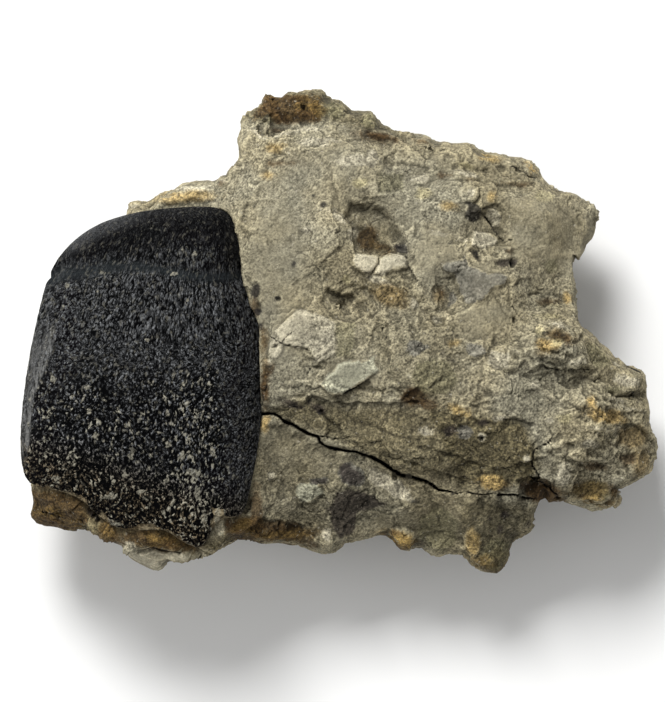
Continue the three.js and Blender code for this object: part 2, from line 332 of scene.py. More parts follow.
def sideways(spots, size, seed, layers=1):
    """Rolling noise to the right and up, as rows of x, y and 0."""
    right, up = lumps(spots, size, seed, layers), lumps(spots, size, seed + 1, layers)
    return np.stack([right, up, np.zeros(len(spots))], 1)


def near_0_to_1(values, start, end):
    """A smooth climb from 0 where values reach start to 1 where they reach end."""
    share = np.clip((values - start) / (end - start), 0, 1)
    return share * share * (3 - 2 * share)


def bell(values, middle, width):
    """A smooth hump: 1 where values are at the middle, a third at the width from it, 0 far off."""
    return np.exp(-(((values - middle) / width) ** 2))


# %% [markdown]
# Most of the rock's features are named places on its face: a ledge, a crack, a pebble. Three helpers
# measure every vertex against such a place at once. `oval` says how far out of a turned ellipse each
# vertex is, with 1 on its edge. `beside` gives the distance to a drawn line, the side of it that the
# vertex is on, and how far along it. `within` gives the depth inside a shape drawn by its corners.
# In all the lists below a line or a shape is a list of its corners, and an oval is five numbers: its
# middle, right and up, half its length, half its width, and the degrees it is turned, if it is.

# %% Helpers for named places on the face
def oval(spots, x, y, half_length, half_width, turn=0):
    """How far each spot lies from the middle of a turned ellipse, seen from above: 1 on its edge."""
    angle = math.radians(turn)
    right, up = spots[:, 0] - x, spots[:, 1] - y
    along = (right * math.cos(angle) + up * math.sin(angle)) / half_length
    across = (up * math.cos(angle) - right * math.sin(angle)) / half_width
    return np.hypot(along, across)


def beside(spots, line):
    """For each spot: distance to the line, +1 on its left or -1 on its right, and share of its length."""
    best = np.full(len(spots), np.inf)
    side = np.ones(len(spots))
    share = np.zeros(len(spots))
    stretches = [math.dist(a, b) for a, b in zip(line, line[1:])]
    whole, passed = sum(stretches), 0.0
    for start, end, length in zip(line, line[1:], stretches):
        dx, dy = end[0] - start[0], end[1] - start[1]
        rx, ry = spots[:, 0] - start[0], spots[:, 1] - start[1]
        t = np.clip((rx * dx + ry * dy) / length**2, 0, 1)
        distance = np.hypot(rx - t * dx, ry - t * dy)
        closer = distance < best
        best = np.where(closer, distance, best)
        side = np.where(closer, np.sign(dx * ry - dy * rx), side)
        share = np.where(closer, (passed + t * length) / whole, share)
        passed += length
    return best, side, share


def within(spots, corners):
    """How far each spot lies inside a shape with these corners, in millimetres: below 0 outside."""
    loop = [*corners, corners[0]]
    distance = beside(spots, loop)[0]
    inside = np.zeros(len(spots), bool)
    for (x0, y0), (x1, y1) in zip(loop, loop[1:]):
        crosses = (y0 > spots[:, 1]) != (y1 > spots[:, 1])
        reach = x0 + (spots[:, 1] - y0) * (x1 - x0) / ((y1 - y0) or 1e-9)
        inside ^= crosses & (spots[:, 0] < reach)
    return np.where(inside, distance, -distance)


# %% [markdown]
# ## The tooth, as a smooth fine shape
# The rock has to be fitted closely round the tooth, so the tooth's fine shape comes first. Its solid has
# facets nearly 2 mm wide. Joined to quads and subdivided, they melt into one smooth curve, as they were
# drawn to. That is right everywhere but at the break, where the crown snapped off: there the outer face
# has to run on level to a crisp lip. Each vertex near the lip is lifted to where the face would be, judged
# from its height at two places further in. The right margin isn't quite straight either, so it is drawn
# sideways a little at two heights.
#
# The side that shows is then cut finer twice more, to squares of about a tenth of a millimetre, because
# the wrinkles of the enamel will be real relief.

# %% Fine copy of the tooth
OUTER_FACINGS = (0.2, 0.46)  # how far up a place on the crown must face to be cut finer, each time
LIP = [(-35, -16.6), (-33, -17.2), (-31.4, -17.6), (-28.65, -18.1), (-27.7, -19.6), (-26, -20.6),
    (-24.4, -21.8), (-20.4, -21.6), (-18.4, -22.3), (-17.4, -23.2), (-15.6, -24.2), (-14.3, -23.2),
    (-13.4, -20.9), (-10.4, -20.6)]
LIP_REACH = 1.3  # millimetres of the face, inwards from the lip, that are lifted level
LIP_INWARDS = (-21.0, -6.0)  # inwards, from anywhere on the lip, is towards this place
LIP_FACING = 0.12  # only what faces up more than this is the outer face
RUN_ON = 0.8  # share of the slope further in that the face keeps on its way to the lip
LIP_EASED = 0.1  # millimetres that the lifted face stays lower, so that the lip isn't raised
MARGIN_SHIFTS = [(-7.0, 1.6, -0.2), (-21.0, 5.0, -0.6)]  # height up the right margin, reach, shift right
MARGIN = (-13, -10)  # the shifts set in at the first of these and are full at the second


def height_below(tree, spots):
    """Height in millimetres of the surface under each spot, seen from above."""
    found = [tree.ray_cast(Vector((x, y, 0.1)), Vector((0, 0, -1)))[0] for x, y, _ in (spots * MM).tolist()]
    return np.array([-1.0 if place is None else place.z / MM for place in found])


crown = merged_copy("tooth", "tooth_crown", join=True)
melt = crown.modifiers.new("melt", "SUBSURF")
melt.levels = melt.render_levels = 2
settle(crown)
spots, ways = places(crown.data), facings(crown.data)
near_lip = ((beside(spots, LIP)[0] < LIP_REACH) & (ways[:, 2] > LIP_FACING)).nonzero()[0]
inwards = np.array([*LIP_INWARDS, 0]) - spots[near_lip] * (1, 1, 0)
inwards /= np.linalg.norm(inwards, axis=1)[:, None]
melted_tree = surface_tree(crown)
further_in = height_below(melted_tree, spots[near_lip] + LIP_REACH * inwards)
furthest_in = height_below(melted_tree, spots[near_lip] + 2 * LIP_REACH * inwards)
level = further_in + RUN_ON * (further_in - furthest_in) - LIP_EASED
spots[near_lip, 2] = np.maximum(spots[near_lip, 2], level)
for middle, reach, shift in MARGIN_SHIFTS:
    spots[:, 0] += shift * bell(spots[:, 1], middle, reach) * near_0_to_1(spots[:, 0], *MARGIN)
put_places(crown.data, spots)
for least in OUTER_FACINGS:
    refine(crown.data, lambda spots, ways: ways[:, 2] > least)
put_places(crown.data, averaged(crown.data, places(crown.data), 2))
crown_tree = surface_tree(crown)

# %% [markdown]
# ## The rock
# The matrix is a sandy mudstone that broke along many small planes. A voxel remesh of its merged copy
# gives even squares whatever the facets were. They start coarse. The walls and the face are cut finer
# once, and the face again, to squares a fifth of a millimetre wide, which is finer than most of its
# chips. The socket under the tooth and the back, which rests on the table, stay coarse. After each cut
# the new vertices are put back on the solid and smoothed.

# %% Fine copy of the rock
ROCK_VOXEL = 0.86
FACE_FLOOR = 8.0  # below this height the walls stay coarser
SOCKET = (-22, -4.5, 10.6, 16)  # the oval that the tooth hides
CLING = 2.0  # millimetres within which the new vertices are drawn back to the solid


def off_back(spots, ways):
    """The rock's walls and face, without its back and the floor of the socket."""
    under_tooth = oval(spots, *SOCKET) < 1
    return (ways[:, 2] > -0.5) & (spots[:, 2] > 0.4) & ~(under_tooth & (ways[:, 2] > 0.3))


def on_show(spots, ways):
    """The rock's face and the upper part of its walls."""
    return off_back(spots, ways) & (spots[:, 2] > FACE_FLOOR) & (ways[:, 2] > 0.2)


block = merged_copy("matrix", "rock_block", join=False)
solid_tree = surface_tree(block)
even = block.modifiers.new("even_squares", "REMESH")
even.mode = "VOXEL"
even.voxel_size = ROCK_VOXEL * MM
settle(block)
for wanted, rounds in ((off_back, 1), (on_show, 2)):
    refine(block.data, wanted)
    _, clung = reach_to(solid_tree, places(block.data), CLING)
    put_places(block.data, averaged(block.data, clung, rounds))

# %% [markdown]
# Where the rock was cleaned or split along one plane it is smooth, and where it crumbled it is rough.
# `share_of_patches` blends a short list of such patches: each has a place and a share that holds there.

# %% How rough each part of the rock is
PATCH_EDGE = (0.65, 1.2)  # a patch is full up to this share of its oval, and gone at this
ROUGH_PATCHES = [
    # oval, share of the full roughness
    ((-6.5, 6, 3.4, 11, 4), 0.45),  # the cleaned strip beside the tooth
    ((-4, -13.5, 6, 3.2, -22), 0.6),  # the sunk slab by the tooth
    ((12, -20.8, 8.5, 2.6), 0.6),
    ((4, -10.4, 9, 2, -14), 0.9),  # the flank above the crack
    ((10.5, 8.6, 2.6, 3.4), 0.4),  # the tan plane
    ((15.5, 5.6, 3, 2), 0.4),  # the slate plane
    ((23, 11, 6.5, 4.2, -12), 0.35),
    ((5, 12.4, 5, 2.6), 0.7),
    ((16, 1.2, 3.4, 2.2, 10), 0.45),
    ((-3, 16.5, 7, 3.6, 10), 0.75),
    ((1.5, -4.8, 3.2, 1.6, -20), 0.4),  # the greenish slab
    ((4.5, 7.5, 3, 1.1), 0.25),  # the two pale flakes
    ((29, -13.5, 6.5, 6), 1.45),  # the knobbly lobe
    ((-5, 24, 6, 3), 1.3),
    ((14, 17.6, 8, 2.8, -8), 0.75),
    ((16.5, 13, 3, 2, -30), 0.9),
    ((23.8, -1.6, 3.2, 2.6, -15), 1.6),  # the crusted nodule
    ((4.6, 3.8, 4.4, 2.8), 1.4),
    ((-29.5, -19.6, 4.5, 2), 1.3),
    ((-20.5, -23, 5, 1, -10), 1.3),
    ((-20, -25.2, 5.4, 1.3), 0.2),  # the pale flake below the break
]
LAYERED_PATCHES = [
    # oval, share of the full layering
    ((6, -10.6, 12, 3.4, -22), 1),  # striated flank above the crack
    ((20, -8, 8, 6, -20), 1),
    ((14, 18, 11, 3, -14), 0.8),
    ((20, 12, 7, 5, -10), 0.5),
    ((10, -20, 12, 3, -8), 0.4),
    ((29, -8.5, 5, 5, -10), 0.9),
    ((-6, 24, 6, 3, -20), 0.7),
]


def share_of_patches(spots, patches, base):
    """The share that holds at each spot: base, or that of the patch it lies in."""
    shares = np.full(len(spots), base)
    for shape, share in patches:
        inside = 1 - near_0_to_1(oval(spots, *shape), *PATCH_EDGE)
        shares += inside * (share - shares)
    return shares


# %% [markdown]
# The cracks are the rock's strongest lines: a third of a millimetre wide, and deep enough to look black.
# A mesh can't show a narrow gap unless vertices lie on both of its lips, so vertices near the line are
# first drawn sideways to the lips, and only those left inside are pushed down.

# %% Cracks
CRACK_CORE = 0.55  # share of a crack's width that is pushed down
LIP_CATCH = 0.12  # millimetres outside the lip from which a vertex is drawn to it
LIP_DRAW = 0.1  # millimetres that a vertex is drawn at most
NUDGE = 0.02  # millimetres, to find which way leads away from the line
CRACKS = [
    # line, half width, depth, width left at the end as a share
    ([(-9, -9.1), (-7.2, -9.1), (-6.6, -9.4), (-6.3, -9.8), (-5.2, -10.3), (-4.6, -10.7), (-3.8, -11.1),
      (-3, -11.4), (-2.4, -11.6), (-2.2, -12.1), (-1.9, -12.5), (-1.2, -12.8), (-0.3, -13), (0.6, -13.15),
      (1.9, -13.3), (2.6, -13.6), (3.6, -13.9)], 0.16, 1.6, 1.1),
    ([(3.5, -13.85), (4.5, -14.4), (5.65, -15.15), (7, -16.05), (8.5, -16.15), (9.35, -16.5),
      (10.15, -16.9), (11, -17.5), (11.9, -17.7)], 0.22, 2.6, 0.6),
    ([(11.7, -17.65), (12.9, -17.85), (13.6, -17.8)], 0.09, 0.7, 0.7),
    ([(14.1, -17.75), (15.4, -18), (16.9, -17.9)], 0.09, 0.6, 0.7),
    ([(17.4, -18.1), (19.2, -18), (20.6, -18.4), (22.4, -18.6)], 0.12, 0.9, 0.9),
    ([(-2.4, -11.45), (-1.5, -11.6), (-0.7, -11.85), (0.5, -11.8), (1.5, -11.65), (2.6, -11.45)],
      0.08, 0.4, 0.4),
    ([(23.3, -11.8), (23, -12.3), (22.2, -12.6), (21.5, -13), (21.3, -13.7), (21.2, -14.7), (21.7, -15.3),
      (22.1, -16.2)], 0.09, 0.7, 0.9),
    ([(22.2, -16.5), (23, -17.2), (23.8, -17.9), (24.3, -18.6)], 0.09, 0.6, 0.8),
    ([(-7.6, -0.6), (-6.4, -1.3), (-5.2, -1.6), (-3.5, -1.9)], 0.07, 0.35, 0.6),
    ([(-6.4, -1.2), (-5.6, -0.4), (-4.8, 0.2)], 0.06, 0.3, 0.5),
    ([(4.7, 0.4), (4.9, -0.5), (5.3, -0.8), (5.3, -2)], 0.06, 0.3, 0.6),
    ([(-22.4, -24.2), (-20.4, -23.85), (-19.4, -24.2), (-16.8, -24.5)], 0.07, 0.4, 0.8),
    ([(4.4, 8.3), (4.2, 7.35), (3.55, 6.4)], 0.06, 0.5, 0.8),
    ([(-7.9, -5.6), (-8.05, -7.4), (-8.1, -8.8)], 0.05, 0.3, 1),
    ([(7.3, 8.3), (7.7, 7), (8.7, 5.4)], 0.07, 0.35, 0.7),
    ([(0.5, -6.8), (1.3, -6.4), (2.2, -5.9), (3.2, -5.3)], 0.1, 0.5, 0.6),
    ([(-3.2, -4.1), (-3.6, -4.8)], 0.08, 0.3, 0.6),
    ([(15.9, 12.8), (16.5, 12), (17.2, 11), (17.8, 10.2), (18.3, 9.85), (19.1, 10.2)], 0.08, 0.5, 0.7),
    ([(19, 18.3), (20.4, 17.6), (20.9, 17.1), (22.2, 17)], 0.07, 0.4, 0.7),
    ([(31.8, -6.9), (33.2, -6.5)], 0.1, 0.5, 0.8),
    ([(31.7, -3.8), (33.5, -4.6)], 0.1, 0.4, 0.8),
    ([(22.5, -3.9), (24, -4.25), (25.8, -4.2), (27.5, -4.2)], 0.07, 0.4, 0.7),
    ([(19, 2.8), (19.5, 2), (20, 1.2)], 0.06, 0.3, 0.8),
    ([(-33, -20), (-31.9, -20.2), (-31, -20.5)], 0.12, 0.7, 0.8),
    ([(-27.7, -18.5), (-27.2, -19.6), (-26.8, -21)], 0.2, 1.2, 0.8),
]


def cut_crack(spots, line, half_width, depth, tail):
    """Opens a crack in the face along a line. Returns how deep in it each spot is, from 0 to 1."""
    deep = np.zeros(len(spots))
    corners = np.array(line)
    reach = 4 * half_width + 0.5
    close = (spots[:, 2] > FACE_FLOOR).nonzero()[0]
    for axis in (0, 1):
        low, high = corners[:, axis].min() - reach, corners[:, axis].max() + reach
        close = close[(spots[close, axis] > low) & (spots[close, axis] < high)]
    near = spots[close]
    wavy = near + 0.1 * sideways(near, 0.7, 31)
    distance, _, share = beside(wavy, line)
    half = half_width * (1 - (1 - tail) * share) * (1 + 0.35 * lumps(near, 1.1, 33))
    outwards = np.zeros((len(near), 2))
    for axis in (0, 1):
        nudged = wavy.copy()
        nudged[:, axis] += NUDGE
        outwards[:, axis] = (beside(nudged, line)[0] - distance) / NUDGE
    lip = (distance > CRACK_CORE * half) & (distance < half + LIP_CATCH)
    inside = distance <= CRACK_CORE * half
    near[lip, :2] += outwards[lip] * (half - distance)[lip, None].clip(-LIP_DRAW, LIP_DRAW)
    near[inside, 2] -= depth
    spots[close] = near
    deep[close] = np.where(inside, 1.0, bell(distance, 0, 1.7 * half + 0.05))
    return deep


# %% [markdown]
# Ledges are lines where the face steps down and then climbs back slowly. Knobs and hollows are ovals.
# Flakes are angular shapes that stand proud or lie sunk, with a crisp edge all round: broken shell, small
# clasts, and slabs that split off along the bedding. Some of the shapes have a name, because a stain
# fills them too.

# %% Ledges, knobs and flakes
LEDGES = [
    # line (the face drops on its right), drop, distance over which it climbs back
    ([(-1, 22), (-1.4, 22.5), (-2.2, 22.8), (-5, 22.6), (-6.2, 22.2), (-7.3, 21.6), (-8.2, 21.6),
      (-9.3, 22.5), (-10.6, 22.3)], 1.1, 2.6),
    ([(-1.06, 13.3), (0.06, 12.94), (0.8, 12.2), (1.53, 11.47), (1.72, 10.35), (1.9, 9.2)], -0.5, 1.2),
    ([(-4.4, 11.2), (-3.6, 11), (-2.8, 10.9)], 0.35, 0.9),
    ([(8.75, 5.35), (7.9, 6.8), (7.3, 8.3)], -0.5, 1.2),
    ([(1.9, 3.7), (1.17, 4.05), (-0.3, 4.2), (-1.4, 5)], -0.75, 1.5),
    ([(3.76, 1.6), (2.6, 2), (1.17, 1), (-1.06, 1.6)], 0.35, 0.9),
    ([(15.3, 13.4), (16.1, 12.6), (16.9, 11.4), (17.5, 10.3), (18.4, 9.7)], -0.45, 1.3),
    ([(8.4, 11.8), (8, 10.2)], -0.35, 1),
    ([(3.4, -5.2), (1.3, -6.4), (0.4, -6.9), (-0.7, -7)], -0.55, 1.4),
    ([(21.8, -3.5), (23.4, -4.1), (25.6, -4.2), (27.8, -4)], 0.5, 1.6),
    ([(29.6, -6.7), (31, -6.9), (33.6, -6.7)], 0.7, 1.6),
    ([(30.6, -3.6), (31.7, -3.9), (33.6, -4.6)], -0.5, 1.4),
    ([(9.6, -7.9), (8.5, -7.9), (6, -7.9), (2.3, -8.1), (1.2, -8.2), (-1.4, -7.5), (-4.2, -6.9)],
      -0.55, 2.4),
    ([(8.8, -5.9), (7.6, -6.6), (6.8, -7.8)], -0.6, 1),
    ([(14.4, -8.2), (15.8, -7.9), (17.4, -7.8)], 0.4, 1.2),
    ([(17.6, -9.6), (19.6, -9.4), (21.8, -10.3)], 0.45, 1.4),
    ([(8, -12.4), (12, -13.4), (16.5, -15)], 0.35, 1.6),
    ([(1.5, -9.6), (6.5, -11.4), (12.5, -12)], 0.3, 1.4),
    ([(6.5, -14.2), (11, -15.6), (15, -16.6)], 0.4, 1.2),
    ([(-12, -21.9), (-10.5, -21.2), (-9.2, -20.6)], -0.4, 1.2),
    ([(19.5, -16.5), (21, -16.3), (22.4, -16.6)], 0.9, 2.4),
    ([(17.5, 16.5), (19, 16.5), (20.5, 16.3)], 0.35, 1),
    ([(12.2, 18.6), (14.5, 18.4), (17, 18)], 0.4, 1.2),
    ([(4.6, 19.4), (7, 18.7), (10.6, 18.2)], 0.5, 1),
    ([(8, 21.6), (9.5, 21.3), (11, 20.8)], 0.5, 1.2),
    ([(2.6, 22.2), (4.4, 21.9), (6.4, 21.2)], 0.4, 1),
    ([(20.6, 4.3), (22.6, 4.4), (25, 3.8)], 0.45, 1),
    ([(9.8, 2), (10.8, 1.9), (11.9, 1.5)], 0.35, 0.8),
    ([(-6.2, -9.6), (-4.6, -10.5), (-2.4, -11.5)], 0.35, 3),
    ([(-1.9, -12.4), (0.6, -13.1), (3.5, -13.8), (8.5, -16.1), (11.8, -17.6)], 0.5, 3.4),
    ([(-24.5, 13.9), (-21, 14.2), (-18, 14.5), (-13.8, 14.6)], 0.5, 1.4),
    ([(-12.8, -23), (-10.2, -22), (-8.2, -21.3)], 0.3, 1.2),
    ([(-9.6, -20.8), (-7.2, -20.7), (-4.6, -21.6)], 0.35, 1.4),
]
KNOBS = [
    # oval, rise, steepness of the edge
    ((-3.5, -17.8, 1.6, 1.1, 5), 0.4, 4),  # the green pebble
    ((12.9, 7.2, 1.1, 0.55, 15), 0.22, 3),
    ((11.2, 3.7, 1.3, 1.4), -0.25, 3),
    ((10.8, 4.6, 0.75, 0.4), -0.2, 3),
    ((15.6, -11.6, 0.7, 0.6), 0.25, 3),
    ((15.6, -11.6, 0.28, 0.25), -0.6, 4),
    ((10, -4.8, 3, 2.4, 20), 0.5, 2),
    ((18.5, -2.8, 1.9, 1.5, -20), 0.55, 3),
    ((-28.6, -19.8, 0.8, 1, -15), 0.25, 4),
    ((-7.5, -16, 0.5, 0.45), 0.25, 4),
    ((-3, 1.6, 1.2, 1.1), 0.4, 2),
    ((-7.1, -1.9, 0.8, 1.1), 0.3, 4),
    ((-7.15, -1.55, 0.35, 0.28), -0.5, 4),
    ((-6.8, 3.6, 0.3, 0.25), -0.3, 4),
    ((6.8, -23, 1.5, 1.1, -10), 0.4, 3),
    ((14.7, -23.4, 1, 1.5), 0.3, 3),
    ((3.57, 1.9, 0.35, 0.3), -0.6, 4),
    ((19, 7.5, 0.32, 0.4, 20), -0.6, 4),
    ((19.4, 1.4, 0.25, 0.4), -0.6, 4),
    ((6, -16.2, 0.4, 0.3), -0.5, 4),
    ((-9.2, 2.5, 0.45, 0.4), -0.35, 3),
    ((-2.5, -3.9, 0.7, 0.25, -10), -0.5, 4),
    ((22.2, -17.9, 2, 1.1, -15), -1, 2),
    ((2.9, 9.8, 0.35, 0.3), 0.2, 3),
    ((21.4, 18.2, 1, 0.7, -30), 0.4, 3),
    ((20.1, 18, 0.7, 0.4), -0.5, 3),
    ((3.4, 23.4, 1, 0.9), 0.35, 3),
    ((3.6, 19.2, 0.7, 0.9), 0.3, 3),
    ((9, 16.8, 1.1, 0.6, 10), 0.25, 3),
    ((24.3, -0.4, 1, 0.7), -0.4, 3),
    ((22.3, 0.2, 0.8, 0.6), 0.35, 3),
    ((23.8, -1.7, 0.8, 0.6), 0.3, 3),
    ((26.2, -3.4, 1, 0.55, 5), 0.4, 4),
    ((21.5, -6, 0.6, 0.5), 0.3, 3),
    ((20.5, -14.1, 0.6, 0.6), 0.35, 3),
    ((28.3, -15, 1.4, 0.6, -10), -0.2, 3),
    ((32, -13.9, 1, 0.6, 10), -0.45, 3),
    ((25, -15.8, 1.2, 1.4), 0.4, 2),
    ((27.5, -7.7, 0.45, 0.65), 0.3, 4),
    ((26.4, -13.5, 1, 0.7), 0.4, 3),
    ((-7.8, -3.5, 0.5, 0.5), 0.3, 3),
    ((1.6, 18.9, 2, 1), 0.2, 3),
    ((-11.9, -20.9, 0.5, 0.7), -0.35, 3),
    ((-1.5, -22.7, 0.6, 0.7), 0.3, 3),
    ((19.3, -22.6, 0.9, 0.5), -0.3, 2),
]
# shapes that a flake and a stain share
PALE_SLAB = [(-7.2, 0), (-4.6, 2.4), (-2, 1.64), (-0.3, 1.1), (-0.5, -0.2), (-0.3, -2.4), (-2.5, -3.5),
    (-3.5, -1.9), (-6.4, -1.3)]
PALE_CLAST = [(14.9, 11.1), (16, 11), (17, 10.6), (17.5, 10), (17, 9.4), (15.5, 9.1), (14.5, 9.3),
    (14.4, 10.2)]
BREAK_FLAKE = [(-24, -22.8), (-22.6, -23.6), (-22.2, -24.2), (-20.4, -23.8), (-19.5, -24.2),
    (-16.6, -24.5), (-14.3, -24), (-14.3, -24.5), (-16.5, -25.1), (-19, -25.6), (-19.6, -26.4),
    (-21.5, -26.3), (-23.5, -25)]
SLATE_PLANE = [(12.5, 7.9), (13.8, 8.1), (14.5, 7.2), (16.5, 6.4), (18.6, 6.2), (18.3, 5.1), (16.8, 4.8),
    (16, 3.6), (14, 2.9), (13.3, 4.2), (12.6, 6.2), (11.4, 6.8), (11.2, 7.3)]
GREEN_SLAB = [(-0.2, -3.5), (1, -3.3), (3.8, -3), (4.2, -4.3), (3, -5.3), (1.5, -6.2), (0.4, -6.8),
    (-0.6, -6.9), (-2.3, -5.8), (-1.5, -5), (-0.8, -4.4)]
OLIVE_SLAB = [(-0.5, 1.1), (1.9, 0.7), (1.36, -2.9), (-0.3, -2.8)]
OLIVE_PLANE = [(4, 17.5), (7, 17.3), (7, 15.4), (4.2, 15.2)]
BLACK_PIT = [(14.2, 9.1), (15.3, 8.9), (15.5, 7.5), (14.9, 8)]
FLAKES = [
    # corners, rise, width of its edge
    ([(1.17, 14.2), (4.87, 13.5), (6.17, 11.3), (7.3, 10.2), (7.64, 8.87), (6.36, 8.5), (4.87, 8.3),
      (3.76, 8.5), (1.9, 8.87), (1.7, 10.4), (1.5, 11.5), (0.8, 12.3)], -0.6, 1.3),
    ([(1.8, 11.7), (2.9, 11.8), (4.5, 10.6), (5.6, 9.3), (3.8, 8.7), (1.8, 8.8)], -0.45, 0.3),
    ([(1.5, 8.5), (4.3, 8.3), (4.15, 7.4), (3.5, 6.5), (2.5, 6.4), (1.4, 7.3)], 0.5, 0.15),
    ([(4.5, 7.9), (5.6, 8.6), (7.3, 8.2), (7.4, 7.05), (5.4, 6.6), (3.65, 6.3), (4.3, 7.3)], 0.55, 0.15),
    ([(3.76, 6.3), (8.75, 5.35), (9.3, 4.2), (7.8, 1.8), (6.5, 2), (4.7, 2.6), (3.76, 3.5), (3, 5)],
      0.35, 0.4),
    ([(-1.4, 5), (-0.3, 4.2), (1.17, 4.05), (1.9, 3.7), (3.6, 2.4), (2.6, 2), (1.17, 1), (-1.06, 1.6),
      (-2.2, 3.2)], -0.35, 0.5),
    ([(6.2, 9.8), (7.4, 9.7), (7.6, 8.6), (6.3, 8.5)], 0.4, 0.2),
    (PALE_SLAB, 0.3, 0.25),
    (OLIVE_SLAB, 0.12, 0.3),
    (GREEN_SLAB, 0.4, 0.3),
    ([(-2.2, -11.5), (-1.3, -11.8), (-0.5, -12.1), (-0.3, -12.7), (-1.3, -12.6), (-2.1, -12.2)],
      0.25, 0.2),
    (BREAK_FLAKE, 0.45, 0.2),
    ([(12.9, 15.6), (13.9, 16.2), (15.2, 16), (15.3, 15), (14.8, 14.2), (13.5, 14.3)], 0.45, 0.25),
    ([(13.9, 14), (14.9, 14), (15.6, 13.3), (15, 12.6), (14.3, 12.2), (13.9, 13)], 0.2, 0.2),
    (PALE_CLAST, 0.5, 0.2),
    (BLACK_PIT, -0.3, 0.25),
    ([(15.5, 9.3), (19, 9.3), (18.9, 7.9), (15.6, 7.8)], 0.3, 0.25),
    (SLATE_PLANE, 0.25, 0.25),
    ([(12.5, 17.7), (15.2, 17.5), (15.1, 16.9), (12.6, 16.9)], 0.3, 0.25),
    ([(13.7, -1.2), (15.8, -1), (16, -2.6), (14.2, -3)], 0.3, 0.3),
    ([(30.5, -4.5), (32, -4.2), (33.8, -4.9), (33.9, -6.5), (31, -6.7), (30.3, -5.8)], 0.35, 0.25),
    ([(29.3, -6.9), (33.9, -7.4), (34.1, -8.9), (31, -9), (29.2, -8.4)], 0.3, 0.3),
    ([(-20.9, 14.3), (-17.5, 14.2), (-13.6, 14.7), (-13.8, 16), (-17.6, 15.8), (-20.6, 14.9)], 0.3, 0.25),
    ([(-13.9, -19.7), (-12.9, -19.6), (-12.8, -21.3), (-12.7, -22), (-13.4, -22.5), (-13.9, -21.5),
      (-13.6, -20.5)], 0.35, 0.2),
    ([(15.7, -15.9), (17, -15.7), (18.5, -16.2), (18, -17.2), (16.8, -17.7), (15.6, -17.2)], 0.35, 0.3),
    ([(-6.3, 24.3), (-6.9, 26), (-5.6, 26.2), (-5.4, 24.6)], 0.35, 0.25),
    ([(-8.6, 26.2), (-7.3, 26.1), (-6.6, 25.3), (-6.3, 24.3), (-5.4, 23.4), (-7, 23), (-7.7, 24.2),
      (-9, 24.5)], -0.35, 0.4),
    ([(2.3, 24.6), (4.3, 24.3), (4.6, 22.9), (2.9, 22.6)], 0.3, 0.3),
    (OLIVE_PLANE, -0.2, 0.5),
    ([(10, 1.8), (11.7, 1.7), (11.6, 0.6), (10.2, 0.5)], -0.4, 0.3),
    ([(27, -1), (29.8, -1.2), (30.6, -3.6), (27.8, -3.8)], -0.3, 0.7),
]


def relief_of_face(spots):
    """Height in millimetres that the named ledges, knobs and flakes add to the rock's face."""
    warp = sideways(spots, 2.2, 41, 3)
    soft = spots + 0.3 * warp  # ledges and knobs wander more than the crisp flakes
    firm = spots + 0.13 * warp
    height = np.zeros(len(spots))
    for line, drop, reach in LEDGES:
        distance, side, share = beside(soft, line)
        ends = near_0_to_1(share, 0.0, 0.12) * (1 - near_0_to_1(share, 0.88, 1.0))
        below = near_0_to_1(-side * distance * math.copysign(1, drop), -0.12, 0.12)
        height -= abs(drop) * ends * below * np.exp(-distance / reach)
    for shape, rise, steepness in KNOBS:
        out = oval(soft, *shape)
        height += rise * (1 - near_0_to_1(out, 1 - 0.9 / steepness, 1 + 0.4 / steepness))
    for corners, rise, edge in FLAKES:
        height += rise * near_0_to_1(within(firm, corners), -0.4 * edge, 0.6 * edge)
    return height


# %% [markdown]
# Broken rock has its own order, from large to small. Chipped planes at four sizes make most of it. Where
# the bedding shows, shingled planes step down across the face. Thin crevices wander over it, and small
# pits mark grains that fell out. Sand grain is left as a slight unevenness of every vertex.

# %% The broken surface that covers the whole rock
BEDDING = (0.42, 0.9, 0.25)  # across the beds, which run gently down to the right
CHIPS = [(0.30, 5.2, 0.3), (0.20, 2.3, 0.3), (0.09, 1.05, 0.35), (0.035, 0.5, 0.4)]  # height, size, level


def broken_surface(spots):
    """Height in millimetres of the broken surface at each spot, where it has its full roughness."""
    warp = np.stack([lumps(spots, 3.0, seed, 3) for seed in (51, 52, 53)], 1)
    bent = spots + 0.7 * warp
    height = sum(rise * chips(bent, size, seed, level) for seed, (rise, size, level) in enumerate(CHIPS, 1))
    layered = share_of_patches(spots, LAYERED_PATCHES, 0.25)
    layered *= near_0_to_1(lumps(spots, 6.0, 54), -0.25, 0.2)
    height += layered * (0.42 * shingles(spots, BEDDING, 2.9, 55) + 0.16 * shingles(bent, BEDDING, 1.1, 56))
    crevices = bell(lumps(bent, 3.4, 57, 2), 0, 0.035) * near_0_to_1(lumps(spots, 4.0, 58), 0.0, 0.3)
    pits = near_0_to_1(lumps(spots, 0.85, 59), 0.34, 0.52) * near_0_to_1(lumps(spots, 5.0, 60), -0.1, 0.3)
    height -= 0.25 * crevices + 0.12 * pits
    return height + 0.13 * lumps(spots, 3.4, 61, 3) + 0.03 * lumps(bent, 0.7, 62, 2)


# %% [markdown]
# The rock's silhouette has corners, nicks and small lobes that the coarse solid rounds off, so its rim is
# drawn to its true line, seen from above. At many places along the line, level rays from outside find
# where the rock's widest part is now. Vertices near that place move outwards or inwards by what is
# missing. Two rounds bring nearly all of the rim to within a tenth of a millimetre.

